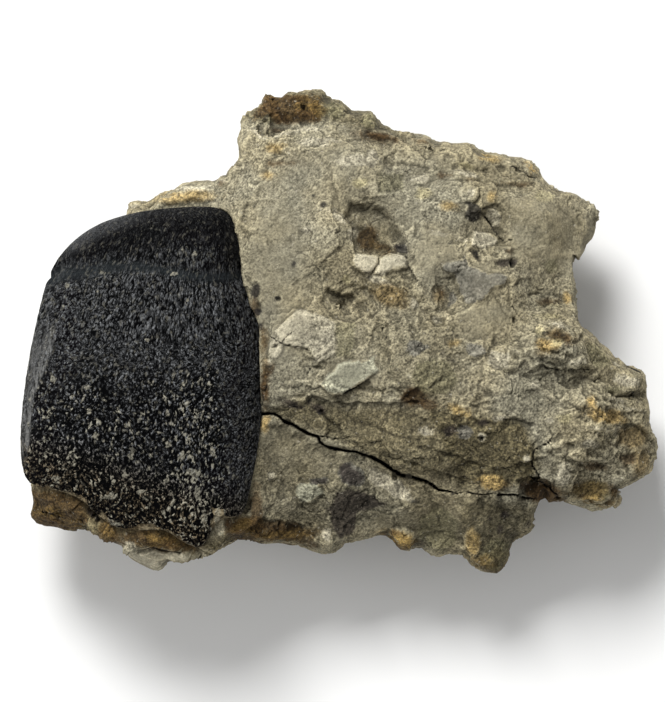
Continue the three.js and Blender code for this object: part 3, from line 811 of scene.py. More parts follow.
# %% The true outline of the rock
OUTLINE = [
    # from the tooth's lower left corner, below it to the right, round, and back above the tooth
    (-34.3, -17), (-34.2, -18), (-34, -19), (-34.3, -20.2), (-34.2, -20.75), (-33.75, -21.2),
    (-32.8, -21.6), (-31.7, -21.75), (-30.8, -22), (-29.8, -22.2), (-28.8, -22), (-27.7, -22.1),
    (-26.3, -22.75), (-25, -23.3), (-24, -23.7), (-24, -24.2), (-23.3, -25.1), (-22.8, -25.5),
    (-22, -25.9), (-21, -26.4), (-20.2, -26.6), (-19.5, -26.3), (-19, -25.6), (-18.2, -25.5), (-17, -25.3),
    (-16.3, -25), (-15.3, -24.9), (-14.2, -24.5), (-14, -24.1), (-13, -24.1), (-12.3, -23.65),
    (-11.6, -23.3), (-11.3, -23.1), (-10, -23.25), (-8.5, -23.6), (-6.8, -23.5), (-5.7, -23.75),
    (-5, -23.8), (-4, -24), (-3, -24.5), (-1.8, -24.8), (-0.7, -24.7), (0.3, -24), (0.7, -23.5),
    (1.7, -23.4), (3.3, -23), (4.3, -22.7), (5.1, -22.7), (5.8, -23.2), (6.25, -23.8), (6.8, -24.2),
    (7.75, -24.4), (8.4, -24.1), (9, -24), (9.5, -24.5), (10.3, -24.9), (11, -25.1), (12.1, -24.75),
    (13.8, -24.9), (14.3, -25.6), (15.6, -26.6), (16.9, -26.85), (17.6, -26.9), (18.2, -26.2),
    (18.85, -25.2), (19.1, -23.9), (19.3, -23.4), (20.2, -23), (21.2, -22.4), (21.7, -21.5), (21.6, -20.3),
    (21.9, -19.65), (22.4, -18.75), (23.2, -19), (24.7, -18.8), (25.9, -19.3), (26.8, -19.5),
    (27.9, -19.95), (28.95, -19.9), (29.9, -19.7), (30.8, -19.4), (31.3, -18.95), (31.35, -18.6),
    (31.05, -18.1), (31.1, -17.75), (31.6, -17.3), (32.3, -17.05), (33.2, -16.5), (34, -16), (34.7, -15.6),
    (34.85, -14.9), (34.95, -14.3), (35.3, -13.8), (35.3, -12.8), (35.2, -11.8), (34.7, -10.9),
    (34.45, -10.1), (34.55, -9.15), (34.4, -8.3), (34.15, -7.3), (34.1, -5.8), (34, -4.8), (33.6, -4.3),
    (32.8, -3.95), (31.9, -3.7), (31.2, -3.15), (30.4, -2.6), (29.9, -1.9), (29, -1.3), (28.35, -0.5),
    (27.6, 0.1), (26.8, 0.7), (26.4, 1.3), (26.4, 2), (26.35, 3.5), (26.3, 4.6), (26.1, 5.4), (25.9, 6.2),
    (25.9, 7.2), (26, 7.4), (26.25, 7.4), (26.7, 8.1), (27.2, 8.9), (27.5, 9.7), (28.1, 10.3),
    (28.45, 11.15), (28.55, 11.8), (28.5, 12.4), (28.9, 12.6), (28.9, 13.1), (28.6, 13.7), (28.1, 14.2),
    (27.4, 14.5), (26.7, 15), (25.9, 15.4), (25, 15.6), (24, 16), (23.2, 16.5), (22.7, 17), (22.4, 17.6),
    (22.3, 18.1), (21.7, 18.6), (21.2, 19), (20.4, 19.3), (19.8, 19.4), (18.9, 19.5), (18.1, 19.7),
    (17.2, 19.85), (16.2, 20), (15.5, 20.2), (15.05, 20.6), (14.5, 20.9), (13.85, 21), (13.3, 20.9),
    (12.5, 20.9), (12, 21.05), (11, 21.1), (10.4, 21.3), (9.9, 21.7), (9.2, 21.9), (8.1, 22), (7.2, 22.15),
    (6.4, 22.3), (5.75, 22.5), (5.4, 22.85), (4.9, 22.95), (4.3, 23.6), (4, 24.1), (3.4, 24.55),
    (2.6, 24.5), (1.8, 24.55), (1.1, 24.8), (0.5, 25.35), (-0.15, 25.75), (-1, 26), (-1.35, 26.2),
    (-1.5, 26.6), (-2, 26.9), (-2.9, 26.95), (-3.8, 26.85), (-4.4, 26.65), (-5, 26.6), (-5.75, 26.55),
    (-6.3, 26.2), (-6.85, 26.1), (-7.4, 26.2), (-7.95, 26.45), (-8.3, 26.3), (-8.6, 25.7), (-8.9, 25),
    (-9.4, 24.8), (-10, 24.55), (-10.65, 23.95), (-11, 23.4), (-11, 22.6), (-11.1, 21.9), (-11.4, 21.25),
    (-11.25, 20.6), (-11.15, 19.6), (-11.2, 19.1), (-11.5, 18.65), (-12.25, 18.1), (-12.6, 17.35),
    (-13.4, 17.15), (-13.75, 16.75), (-14.6, 16.85), (-16.2, 16.75), (-17.35, 16.5), (-18.65, 15.7),
    (-19.75, 15.55), (-20.65, 15), (-21.1, 14.45), (-22.2, 14.6), (-23.4, 14.5), (-23.6, 13.7),
    (-23.7, 13),
]
LEVELS = np.arange(5.0, 19.0, 0.5)  # heights of the level rays
SPACING = 0.4  # millimetres between places on the line
FURTHEST = 2.5  # millimetres that the rim may be out
HOLD = (0.6, 3.2)  # distances from the line where its pull starts to fade and where it is gone
FOOT = 2.0  # the walls start to move at this height
FOOT_RISE = 3.0  # and over this much more they come to move fully


def draw_to_outline(piece, line):
    """Moves a piece's rim to a line seen from above."""
    tree, spots = surface_tree(piece), places(piece.data)
    stops, pushes = kdtree.KDTree(2000), []
    for (x0, y0), (x1, y1) in zip(line, line[1:]):
        length = math.dist((x0, y0), (x1, y1))
        out = Vector(((y1 - y0) / length, (x0 - x1) / length, 0))
        for share in np.arange(0, 1, min(1, SPACING / length)):
            at = Vector((x0 + share * (x1 - x0), y0 + share * (y1 - y0), 0))
            start = [(at + FURTHEST * out + Vector((0, 0, z))) * MM for z in LEVELS]
            struck = [tree.ray_cast(place, -out, 2 * FURTHEST * MM)[3] for place in start]
            reached = [FURTHEST - gap / MM for gap in struck if gap]
            if reached:
                stops.insert(at, len(pushes))
                pushes.append(-max(reached) * out)
    stops.balance()
    wide = (within(spots, line) < HOLD[1]) & (spots[:, 2] > FOOT)
    for row in wide.nonzero()[0]:
        x, y, z = spots[row]
        near = stops.find_n((x, y, 0), 5)
        weights = [1 / (gap + 0.15) ** 2 for _, _, gap in near]
        push = sum((weight * pushes[stop] for weight, (_, stop, _) in zip(weights, near)), Vector((0, 0, 0)))
        fade = 1 - np.clip((near[0][2] - HOLD[0]) / (HOLD[1] - HOLD[0]), 0, 1)
        spots[row] += np.array(push) / sum(weights) * fade * np.clip((z - FOOT) / FOOT_RISE, 0, 1)
    put_places(piece.data, spots)
    amounts = [push.length for push in pushes]
    print("rim was off by", round(sum(amounts) / len(amounts), 2), "mm on average")


# %% [markdown]
# Now the pieces come together. Everything is added along each vertex's own direction, so the walls get
# the same broken surface as the face. Close to the tooth the relief dies away, except at its broken end,
# where the rock climbs against it as a bank. The back keeps its plane, and is only worn inwards.

# %% Work the surface into the rock
SAND = 0.022  # millimetres of unevenness, vertex by vertex
BANK = 1.5  # millimetres that the rock climbs against the broken end of the tooth
BANK_REACH = (0.3, 2.7)  # millimetres from the enamel where the bank starts to fall and where it ends
NEAR_TOOTH = (0.25, 1.4)  # millimetres from the enamel where the relief sets in and where it is full
BACK = 0.3  # what lies lower than this is the back

spots, ways = places(block.data), facings(block.data)
from_tooth, _ = reach_to(crown_tree, spots, 3.0)
at_break = near_0_to_1(-spots[:, 1], 16.5, 18.0) * (1 - near_0_to_1(spots[:, 0], -11.5, -9.0))
calm = np.maximum(near_0_to_1(from_tooth, *NEAR_TOOTH), 0.75 * at_break)
rough = share_of_patches(spots, ROUGH_PATCHES, 1.0) * (0.25 + 0.75 * calm)
on_face = near_0_to_1(ways[:, 2], 0.0, 0.4) * near_0_to_1(spots[:, 2], 5.0, 9.0)
off_base = near_0_to_1(spots[:, 2], 0.2, 1.6)

texture = broken_surface(spots)
sand = SAND * rough * np.random.default_rng(11).normal(size=len(spots))
rise = off_base * (rough * texture + on_face * calm * relief_of_face(spots) + sand)
rise = np.where(spots[:, 2] < BACK, -np.abs(0.5 * texture), rise)
rise += BANK * at_break * on_face * (1 - near_0_to_1(from_tooth, *BANK_REACH))
put_places(block.data, spots + ways * rise[:, None])
print("rock surface, mm: rises", round(rise.max(), 2), "sinks", round(rise.min(), 2))
for _ in range(2):
    draw_to_outline(block, OUTLINE)

# %% [markdown]
# The cracks are cut next. Then the rock is drawn in round the tooth until it all but touches the enamel,
# because the two grew hard against each other, and the solids keep 0.3 mm between them. Right of the
# tooth the rock's face ends in a crisp rim. Its line is given, like the outline, and whatever hangs over
# the enamel is set back to it.

# %% Cracks, and the rim beside the tooth
CLOSEST = 0.06  # millimetres left between the rock and the enamel
CLOSING = (0.3, 1.1)  # gaps in millimetres that are closed fully, and that are left as they are
RIM = [(-10.9, 8.5), (-10.9, 6.6), (-10.5, 4.8), (-9.9, 2.9), (-9.4, 2), (-9, 1), (-8.8, 0.1),
    (-8.85, -1.9), (-8.75, -4.5), (-8.7, -8.2), (-8.6, -9.2), (-8.9, -10.9), (-9.2, -13.2), (-9.5, -15.4),
    (-9.7, -17.6), (-10, -18.7)]
BITE, BITE_REACH, BITE_DEPTH = -7.3, 1.4, 0.3  # where up the rim it bites left, how far along, how far in
RIM_FLOOR = 15.0  # what is lower than this isn't the rim
OVERHANG = 1.6  # millimetres that the rock may hang over the enamel

spots = places(block.data)
crack_depth = np.zeros(len(spots))
for line, half_width, depth, tail in CRACKS:
    crack_depth = np.maximum(crack_depth, cut_crack(spots, line, half_width, depth, tail))
gap, nearest = reach_to(crown_tree, spots, 1.4)
pull = (1 - near_0_to_1(gap, *CLOSING)) * np.clip(gap - CLOSEST, 0, None) / np.maximum(gap, 1e-6)
spots += (nearest - spots) * pull[:, None]

rim_x = np.interp(-spots[:, 1], [-y for _, y in RIM], [x for x, _ in RIM])
in_bite = bell(spots[:, 1], BITE, BITE_REACH) * (spots[:, 2] > 18)
spots[:, 0] -= BITE_DEPTH * in_bite * (1 - near_0_to_1(np.abs(spots[:, 0] - rim_x - 0.2), 0.4, 1.2))
past_rim = rim_x - spots[:, 0]
over = ((spots[:, 2] > RIM_FLOOR) & (past_rim > 0) & (past_rim < OVERHANG)).nonzero()[0]
over = over[(spots[over, 1] < RIM[0][1]) & (spots[over, 1] > RIM[-1][1])]
over = over[spots[over, 2] > height_below(crown_tree, spots[over]) + 0.02]
spots[over, 0] = rim_x[over] + 0.06 * lumps(spots[over], 0.8, 63, 2)
spots[:, 2] = spots[:, 2].clip(0, None)
put_places(block.data, spots)
print("vertices set back to the rim:", len(over))

# %% [markdown]
# Drawing the walls to the outline left them too straight from top to bottom. A real wall crumbles where
# it turns under, so every part that faces downwards is worn in by rolling noise and chips.

# %% Walls worn in under the rim
TURNED_UNDER = (-0.25, 0.08)  # how far up a wall faces where the wear is full and where it ends
MOST_WORN = 0.9  # millimetres

ways = facings(block.data)
overhung = (1 - near_0_to_1(ways[:, 2], *TURNED_UNDER)) * near_0_to_1(spots[:, 2], 0.4, 2.0)
worn_in = (0.35 + 0.7 * lumps(spots, 2.2, 64, 4) + 0.25 * chips(spots, 1.1, 65)).clip(0, MOST_WORN)
wear = overhung * near_0_to_1(from_tooth, 1.0, 2.4) * worn_in
spots -= ways * wear[:, None]
put_places(block.data, spots)
print("walls worn in by up to", round(wear.max(), 2), "mm")

# %% [markdown]
# ### Colours of the rock
# The rock is pale grey-tan, and it is stained. Iron gives the ochre, gold, straw, amber and rust, old
# plant matter the umber, plum and soot, clay the slate, green and olive, and broken shell and bone the
# cream. Some of the umber, rust and soot patches are painted shade instead, in recesses and crevices and
# under ledges and the enamel's edge. Each stain is a list of named places again, ovals and drawn shapes.

# %% Where the stains are
# the top knob is both amber and rusty
TOP_KNOB = [(-8.6, 26.2), (-7.3, 26.1), (-6.6, 25.3), (-6.3, 24.3), (-5.4, 23.4), (-5.6, 22.9), (-7, 23),
    (-7.7, 24.2), (-9, 24.5)]
STAINS = {
    "ochre": [
        (-7.2, 20.3, 1, 0.5, 10), (-17.5, 14.9, 3.4, 0.6, 2), (12, 13.8, 0.8, 0.5), (-7.9, 17.2, 0.7, 0.4),
        (16.8, 15, 0.5, 0.5), (16.7, 19.2, 1.2, 0.4, -8), (21.4, 18.2, 0.9, 0.5, -30),
        (25.2, 3.8, 0.5, 0.6), (12.7, -1.2, 0.6, 0.3), (13.2, -8.7, 1.3, 0.5, -20), (22.7, -1.5, 0.8, 0.7),
        (23.9, -1.6, 0.6, 0.5), (29.8, -9.4, 1.8, 0.5, -12), (27.5, -7.7, 0.4, 0.6),
        (17, -16.6, 1.4, 0.8, -6), (6.8, -23.1, 1.4, 1, -10), (14.8, -23.4, 0.8, 1.4),
        (-8.3, -10.2, 0.5, 0.7), (28, -18.5, 1, 0.5), (29.6, -9.6, 1.6, 0.4, -10),
    ],
    "gold": [
        [(27.2, -7.2), (28.1, -7.1), (28.4, -8.3), (28.3, -9.1), (27.6, -8.5)],
        [(29, -8.8), (31.2, -9.1), (31.4, -9.8), (30.3, -10.2), (29, -9.5)],
        (25.2, 3.8, 0.4, 0.7, 10), (17, -16.7, 1.2, 0.5, -6), (22.9, -1.7, 0.5, 0.5),
        (21.4, 18, 0.4, 0.8, -30), (15.8, 19.4, 0.5, 0.2, -10), (-8.3, -9.9, 0.4, 0.6),
    ],
    "straw": [
        (22.1, 0, 0.5, 0.6), (23.9, -1.3, 0.8, 0.4), (22.8, 15, 0.9, 0.7), (9.3, 15.1, 0.9, 0.7),
        (2.3, 16.4, 0.8, 0.6), (0.8, 5.6, 0.4, 0.4), (23.4, 1.6, 1.2, 0.3), (24.9, -9.6, 0.9, 0.5),
        (14.2, 18.2, 0.7, 0.3, -10),
    ],
    "amber": [
        [(-21.5, -22.2), (-18.5, -22.2), (-16.5, -23.4), (-15.6, -24.3), (-18, -24.4), (-20.8, -23.8)],
        TOP_KNOB,
        [(-5.2, 26.2), (-2.4, 26), (-1.2, 24.6), (-2.2, 23.3), (-3.6, 23.2), (-5, 23.8)],
        (-32.2, -20.3, 1.9, 0.8, -8), (-25.6, -21.8, 0.9, 0.8, -40), (-29.6, -21.2, 1.2, 0.5),
        (-10.2, -21.6, 1.8, 1.2), (-6.2, -22.4, 3, 0.7), (5.8, -22.6, 1.6, 0.6, -10),
        (-8.5, -1.2, 0.45, 1.5), (-8.35, -3.5, 0.35, 1.2), (24.2, -0.6, 1.6, 0.8, -15),
        (22.8, -1.9, 1.2, 0.7), (29.2, -9.2, 2.4, 0.7, -10), (32.4, -11.6, 1.6, 1.4),
        (33.4, -14.6, 1, 1.6), (27.6, -17.6, 2.2, 1), (17, -16.8, 1.6, 0.5, -6), (4.6, 9.2, 1.3, 0.5, -30),
        (11, 3.9, 0.8, 0.9), (5.6, 4, 2.2, 1.2, -20), (15.6, -25.6, 1.8, 0.7), (30.4, -19, 1.4, 0.6, 20),
    ],
    # rust: iron stains, and painted shade along crevices and under ledges
    "rust_and_shade": [
        TOP_KNOB,
        [(-5, 24.8), (-2.8, 24.2), (-2.2, 23.3), (-3.6, 23.2), (-5, 23.8)],
        (-4.7, 25.8, 0.8, 0.4), (-6.8, 18.5, 1.7, 0.3), (4.5, 21.6, 1.5, 0.4, -14),
        (9.4, 21.1, 1.1, 0.3, -12), (-7, 22.3, 1.1, 0.4), (11.3, 17.2, 0.4, 0.4), (11.3, 4.2, 0.4, 0.6),
        (5, 9.2, 1, 0.3, -30), (14.3, 16.8, 0.4, 0.25), (24, -0.5, 0.8, 0.4, -15), (25, -1, 0.4, 0.8),
        (7.7, -7, 1, 0.9), (9.8, -8, 1.3, 0.5, -8), (-17.6, -23.9, 2.2, 0.5, -12), (-12.2, -21, 0.6, 0.5),
        (-11, -22.2, 0.5, 0.4, 30), (-9.2, -20, 0.7, 2.8), (-7, -21.5, 2, 0.7), (-3.8, -23.7, 1.4, 0.5),
        (22, -17.8, 2.1, 1.1, -15), (28.2, -15, 1.3, 0.5, -10), (32, -14.2, 1, 0.7, 10),
        (6.2, -22.3, 0.8, 0.4), (-27.2, -19.8, 0.6, 1.3, 10), (-32, -20.9, 1.1, 0.3),
        (-19.6, -22.7, 1, 0.25), (-8.3, -6, 0.4, 2.4), (-9.3, 2.9, 0.5, 2), (-8.3, -1.2, 0.35, 1.3),
        (-7.6, -4.4, 0.3, 0.8, -20), (-13.2, 16.4, 0.5, 0.3), (18.7, 8.9, 0.4, 0.3),
        (26.7, -18.3, 0.5, 0.35), (27.8, -18.8, 0.6, 0.3), (29.8, -18.9, 0.5, 0.3),
        (30.3, -17.6, 0.4, 0.5), (11.5, 17.2, 0.7, 0.35), (19.8, 16.3, 1.4, 0.25), (23.2, 3.2, 1.2, 0.4),
    ],
    "cream": [
        [(1.63, 8.5), (3.76, 8.4), (4.4, 7.95), (3.67, 6.65), (3, 6.3), (1.9, 7), (1.17, 7.75)],
        [(4.5, 7.95), (5.6, 8.6), (7.3, 8.3), (7.5, 7.2), (6.2, 7), (4.87, 6.3), (3.76, 6.3)],
        PALE_SLAB,
        PALE_CLAST,
        BREAK_FLAKE,
        [(-13.9, -19.7), (-12.9, -19.6), (-12.8, -21.3), (-12.7, -22), (-13.4, -22.5), (-13.9, -21.5)],
        [(-10.2, 22.3), (-9.3, 22.5), (-8.2, 21.6), (-6.2, 22.2), (-3.5, 22.7), (-1.4, 22.5), (-1.4, 22.1),
         (-3.5, 22.3), (-6.2, 21.7), (-8.2, 21.1), (-9.4, 21.9)],
        (3.6, 19.2, 0.6, 0.9), (1.8, 18.8, 2.2, 0.6), (9, 16.9, 1.1, 0.5, 10), (0, 12.6, 1.4, 0.5, -35),
        (1.5, 10.8, 0.4, 1.2, -10), (-3.6, 11.1, 0.8, 0.3), (11.1, 10.75, 1, 0.2, -10),
        (13.6, 10.1, 0.8, 0.18, -5), (14, 17.4, 1.2, 0.3, -8), (14.6, 15.4, 0.5, 0.5),
        (17, 12.6, 0.7, 1, 30), (22.8, 15, 0.7, 0.6), (17.5, -3.2, 1.3, 1), (17.8, -9.5, 0.8, 0.3),
        (21.5, -5.9, 0.5, 0.4), (24.2, 0.75, 0.8, 0.25, -10), (26.3, -3.4, 0.9, 0.4, 5),
        (-7.1, -1.9, 0.9, 1.25), (-8.2, -2.4, 0.3, 0.25), (15.6, -11.6, 0.5, 0.45), (1.6, -7.1, 0.25, 0.2),
        (7.7, -4.8, 0.2, 0.2), (-7.5, -16, 0.5, 0.4), (30.7, -7.6, 1.5, 0.25, -10),
        (32, -8.5, 1.6, 0.2, -10), (29, -10.8, 1.6, 0.2, -10), (31.6, -10.7, 1, 0.2, 5),
        (30.7, -3.5, 0.4, 0.3), (31.8, -5.4, 1.5, 0.7, -10), (-13.2, 16.6, 0.5, 0.25),
        (-16.5, 15.9, 2.2, 0.3), (-23, 14, 0.7, 0.3), (-12, -23.6, 0.9, 0.25, 10),
        (5.6, -16.9, 3, 0.9, -32), (-8.1, -3.5, 0.5, 0.4), (10.6, 1.2, 0.5, 0.3),
        (4.2, 5.6, 1.6, 0.5, -20), (8.2, 3.2, 0.5, 0.8), (23.1, -9.7, 0.5, 0.4), (9.5, -11, 1, 0.5),
        (-1.5, -22.6, 0.6, 0.6), (-2.5, 20.8, 2, 0.5, 5), (20.6, -14, 0.5, 0.5), (24.8, -15.8, 0.9, 1.2),
        (27.6, -12.4, 0.8, 0.5),
    ],
    "slate": [
        SLATE_PLANE, (12.9, 7.2, 1.1, 0.5, 15), (12.9, 7.2, 0.9, 0.4, 15), (8.5, -1.8, 1.4, 0.8),
        (1.4, -15.9, 1.6, 1.2, -20), (13.8, -11.2, 0.9, 0.8), (14.8, -2.1, 1, 0.8),
        (12.4, 3.6, 0.8, 0.5, 60), (-2.3, -16.4, 1, 0.4),
    ],
    "green": [
        GREEN_SLAB, (-3.5, -17.8, 1.6, 1.1, 5),
    ],
    "olive": [
        OLIVE_SLAB,
        OLIVE_PLANE, (10.4, -5, 2.6, 1.9), (23.5, 7.2, 0.7, 0.8), (11, -22, 2.2, 2.4), (3.4, 23.4, 1, 0.9),
        (-8, 23.4, 1, 0.5), (30, -6.4, 0.8, 0.4), (28, -17.8, 2, 1.4), (17.4, -24.8, 1.9, 1.9),
        (23.2, 2.9, 1.3, 0.4), (-0.8, 24.6, 1.4, 1, -20), (28.6, -2.6, 1.6, 1.2, -45),
    ],
    "plum": [
        [(-0.5, -17.5), (1.8, -17.6), (3.4, -18), (5, -19.2), (3.5, -19.6), (2, -20), (2, -21),
         (1.5, -22.5), (0, -23), (-0.8, -22), (-1, -20.5), (-1.3, -19.6), (-0.5, -18.3)],
        [(-0.2, -14.6), (1.3, -14.7), (3, -16.2), (1.8, -17.2), (0.2, -16.6)],
        (-2.2, -16.5, 1, 0.3, -10), (18.5, -20.3, 0.5, 0.5), (17.8, -22, 0.35, 0.5),
        (21, -21.5, 0.35, 0.4), (16.6, -20.8, 0.3, 0.3), (6.4, 9.3, 0.5, 0.4), (15.8, -10, 0.7, 0.5),
        (-5.5, -7.9, 1.4, 0.5, -15), (-2.4, -8.4, 1.2, 0.6, -30), (19.2, 7.6, 0.5, 0.35, 40),
        (18, 7.5, 0.7, 0.4), (12, -11, 0.9, 0.6), (-12, -21.2, 0.6, 0.6), (-11, -22.4, 0.4, 0.4),
    ],
    # umber: brown stains, and painted shade in recesses, hollows and under ledges
    "umber_and_shade": [
        [(-34.8, -17.2), (-31.4, -17.6), (-28.6, -18.2), (-27.4, -20.8), (-29, -22.4), (-34.8, -21.6)],
        [(-26, -20.2), (-24, -22.2), (-21, -21.4), (-17, -23.2), (-14.6, -24), (-20, -24), (-24.5, -23.4),
         (-27, -22.4)],
        [(-9, 25), (-7, 26.5), (-2, 26), (-2, 23.4), (-5.5, 22.8), (-9.5, 23.4)],
        (-10.5, -21.8, 2.2, 1.6), (-6, -22.4, 3.6, 1.1), (6.6, -23.4, 2.2, 0.9, -10),
        (17.6, -25.6, 2, 1.4), (22.5, -17.8, 2.6, 1.4, -20), (28.4, -17.4, 2.4, 1, -10),
        (3, 10.2, 1.2, 1.5, -20), (8.2, -7.2, 1.6, 1.2), (-8.2, -5.8, 0.4, 2.4),
        (4.2, 21.4, 2.4, 0.6, -12),
    ],
    # soot: dark specks, and painted shade in crevices, pits and under the enamel's edge
    "soot_and_shade": [
        [(14, 14.3), (15.2, 14.2), (15.8, 13.3), (15.3, 12.5), (14.6, 11.9), (14, 12.8)],
        BLACK_PIT, (6.9, 9.1, 0.65, 0.55), (-3, 15, 0.3, 0.25), (-1.8, 14, 0.3, 0.25),
        (-4.2, 8.7, 0.35, 0.25), (-4.8, 7.5, 0.25, 0.25), (-6.8, 3.6, 0.45, 0.35),
        (-9.4, 4.4, 0.65, 1.15, 8), (-9, 2.3, 0.45, 0.45), (-8.8, 0.7, 0.4, 0.5), (10.7, 9.8, 0.15, 0.15),
        (12.2, 9.8, 0.15, 0.15), (10.8, 8.2, 0.15, 0.15), (8.7, -1.5, 0.3, 0.2), (9.3, -2.2, 0.3, 0.25),
        (11.4, -2.4, 0.25, 0.4), (12.5, -3.3, 0.35, 0.3), (12, -2.9, 0.2, 0.3), (6.2, -4.4, 0.15, 0.15),
        (2.35, -2.95, 0.15, 0.15), (21.3, -5.9, 0.15, 0.15), (22.5, -0.25, 0.35, 0.25),
        (24.7, -0.4, 0.2, 0.2), (25.2, -1.5, 0.25, 0.2), (15.6, -11.6, 0.3, 0.25),
        (-7.15, -1.55, 0.33, 0.27), (8.5, -18.8, 0.35, 0.2), (12.6, -18, 0.2, 0.15),
        (25.5, -6.5, 0.15, 0.15), (14, -5.3, 0.15, 0.15),
        [(-27.7, -18.4), (-26.7, -19.9), (-26.3, -21.1), (-27.3, -21.1), (-27.9, -20)],
        (14.6, -5.8, 0.15, 0.15), (-33.2, -19.7, 0.25, 0.15), (-15.6, -24, 0.6, 0.25),
        (32.6, -4.1, 0.9, 0.15, -25), (18.9, 7.4, 0.2, 0.3, 20), (19.4, 1.4, 0.15, 0.3),
        (10.6, -3.4, 0.2, 0.2), (-6.2, -7.6, 0.25, 0.2), (-5, -8.2, 0.2, 0.2), (-3.2, -7.6, 0.25, 0.2),
        (-2.2, -9, 0.2, 0.25), (20, -9.9, 1.4, 0.2, -10),
    ],
}

# %% [markdown]
# The stains are stored as masks on the vertices, with soft edges. Noise moves every vertex's place a
# little before it is asked how deep in a stain it is, so that the edges wander. On the steep walls a
# stain would run straight down, so there it sways more, and all but the deep umber fade. The material
# breaks the edges up further, with noise finer than the mesh, so that no stain looks painted on.

# %% Stains, as masks on the rock
WALL = (0.05, 0.3)  # how far up it faces where the rock is fully a wall and where it is fully face
SWAY, WALL_SWAY = 0.25, 1.5  # millimetres that stains sway everywhere, and more on the walls
WALL_FADE = 0.85  # share of a stain that is lost on the walls
GOES_DOWN = "umber_and_shade"  # the stain that keeps its strength on the walls
SOFTNESS = 0.75  # a stain's mask climbs by this much for each millimetre inwards


def stained(spots, shapes):
    """How far inside the nearest of the stains each spot lies: over 0.5 inside, 0 well outside."""
    most = np.zeros(len(spots))
    for shape in shapes:
        if isinstance(shape, list):
            depth = within(spots, shape)
        else:
            depth = (1 - oval(spots, *shape)) * min(shape[2:4])
        most = np.maximum(most, (0.5 + SOFTNESS * depth).clip(0, 1))
    return most


steep = 1 - near_0_to_1(facings(block.data)[:, 2], *WALL)
wander = spots + (SWAY + WALL_SWAY * steep)[:, None] * sideways(spots, 1.4, 71, 3)
for stain_name, shapes in STAINS.items():
    amount = stained(wander, shapes) * near_0_to_1(spots[:, 2], 4.0, 8.0)
    if stain_name != GOES_DOWN:
        amount *= 1 - WALL_FADE * steep
    put_mask(block.data, stain_name, amount)
    print(stain_name, "covers", round(100 * float((amount > 0.5).mean()), 1), "% of the vertices")

# %% [markdown]
# More masks come from the shape itself. The relief less its own average says where the rock is given
# painted shade, in its hollows, and painted light, on its edges, at a fine and at a broad scale. The bed
# below the crack, the flank above it and the walls are browner than the plateau, and are one broad mask:
# partly the rock's own brown, and partly painted shade where these faces slope away from the lamp. Another
# is a thin line of painted shade along the joint with the tooth.

# %% Painted shade in hollows, painted light on edges, and the brown beds with their painted shade
BROWN_AND_SHADED_BEDS = [
    # corners of the bed, share of the brown and of its painted shade
    ([(-9.5, -9.5), (-2.4, -12), (5, -15.2), (12, -18.2), (23, -19), (22, -28), (-14, -28), (-12, -20)],
      0.42),
    ([(8, -19.2), (14, -18.4), (23, -19.2), (22, -28), (4, -28), (2, -20.5)], 0.45),
    ([(13, -18.4), (23, -19.2), (22, -24), (16, -25), (13, -22)], 0.75),
    ([(-4.5, -7.2), (1.2, -8.4), (9, -8.2), (12, -11), (15, -17), (6, -15.6), (-2, -11.4), (-8.6, -9)],
      0.8),
    ([(9, -8.2), (13, -8.6), (20, -9.6), (22, -13), (22, -17), (13, -17.4)], 1),
    ([(21, -14), (25, -17.5), (31, -16.5), (36, -14), (36, -20), (20.5, -20)], 0.1),
    ([(25.5, 1.5), (29, -0.5), (36, -5), (36, -11), (29, -9.5), (26.5, -4)], 0.25),
    ([(-12, 23), (-5, 23.4), (1, 22.6), (8, 21.4), (8, 24), (-4, 28), (-12, 26)], 0.75),
    ([(-36, -16.8), (-28, -17.6), (-22, -21), (-14, -23), (-8, -20), (-8, -28), (-13, -28), (-14.3, -24.3),
      (-19.5, -24), (-22.2, -24), (-24, -22.8), (-26, -28), (-36, -28)], 1),
    ([(17, 14.5), (29, 12), (27, 8.5), (20, 10.5)], 0.35),
    ([(5, 17), (13, 19.5), (22, 18), (20, 15.6), (12, 15.4)], 0.2),
    ([(3.5, 2), (12.5, 1), (13, -6.5), (6.5, -7.5), (4, -3)], 0.42),
    ([(3, 6.2), (8.8, 5.6), (9.6, 3.4), (7.4, 1.6), (3, 3.6)], 0.4),
    ([(-9, 13), (-2.5, 13), (-1.5, 5), (-8, 3)], 0.12),
]

FINE, FINE_DEPTH = 3, 0.05  # rounds of averaging, and the millimetres of hollow that count as full
BROAD, BROAD_DEPTH = 40, 0.3
# walls that turn down or aside are browner: the rock's own brown, and painted shade
WALL_BROWN_AND_SHADE = 0.75
ROUGHEST = 1.6  # the largest share in the list of rough patches

fine_hollow = hollowness(block.data, FINE)
broad_hollow = hollowness(block.data, BROAD)
put_mask(block.data, "hollow", 0.5 + 0.5 * fine_hollow / FINE_DEPTH)
put_mask(block.data, "deep", 0.5 + 0.5 * broad_hollow / BROAD_DEPTH)
put_mask(block.data, "crack", crack_depth)
put_mask(block.data, "rough", share_of_patches(spots, ROUGH_PATCHES, 1.0) / ROUGHEST)
brown_and_shade = WALL_BROWN_AND_SHADE * (1 - near_0_to_1(ways[:, 2], -0.1, 0.35))
for corners, share in BROWN_AND_SHADED_BEDS:
    brown_and_shade = np.maximum(brown_and_shade, share * near_0_to_1(within(wander, corners), -0.7, 0.9))
put_mask(block.data, "brown_bed_and_shade", brown_and_shade)
# a mask for the painted shade along the joint with the tooth
beside_tooth = 1 - near_0_to_1(gap, 0.1, 0.7)
put_mask(block.data, "beside_tooth", beside_tooth * near_0_to_1(spots[:, 2], 6.0, 9.0))
print("hollows, mm: fine", round(float(fine_hollow.max()), 2), "broad", round(float(broad_hollow.max()), 2))

# %% [markdown]
# Both materials need the same few steps, so they are functions: a noise of a size in millimetres, a
# stretch of values turned into another, a product, a sum, and one colour laid over another. Every noise
# reads Object coordinates, so the pattern stays put on the piece.

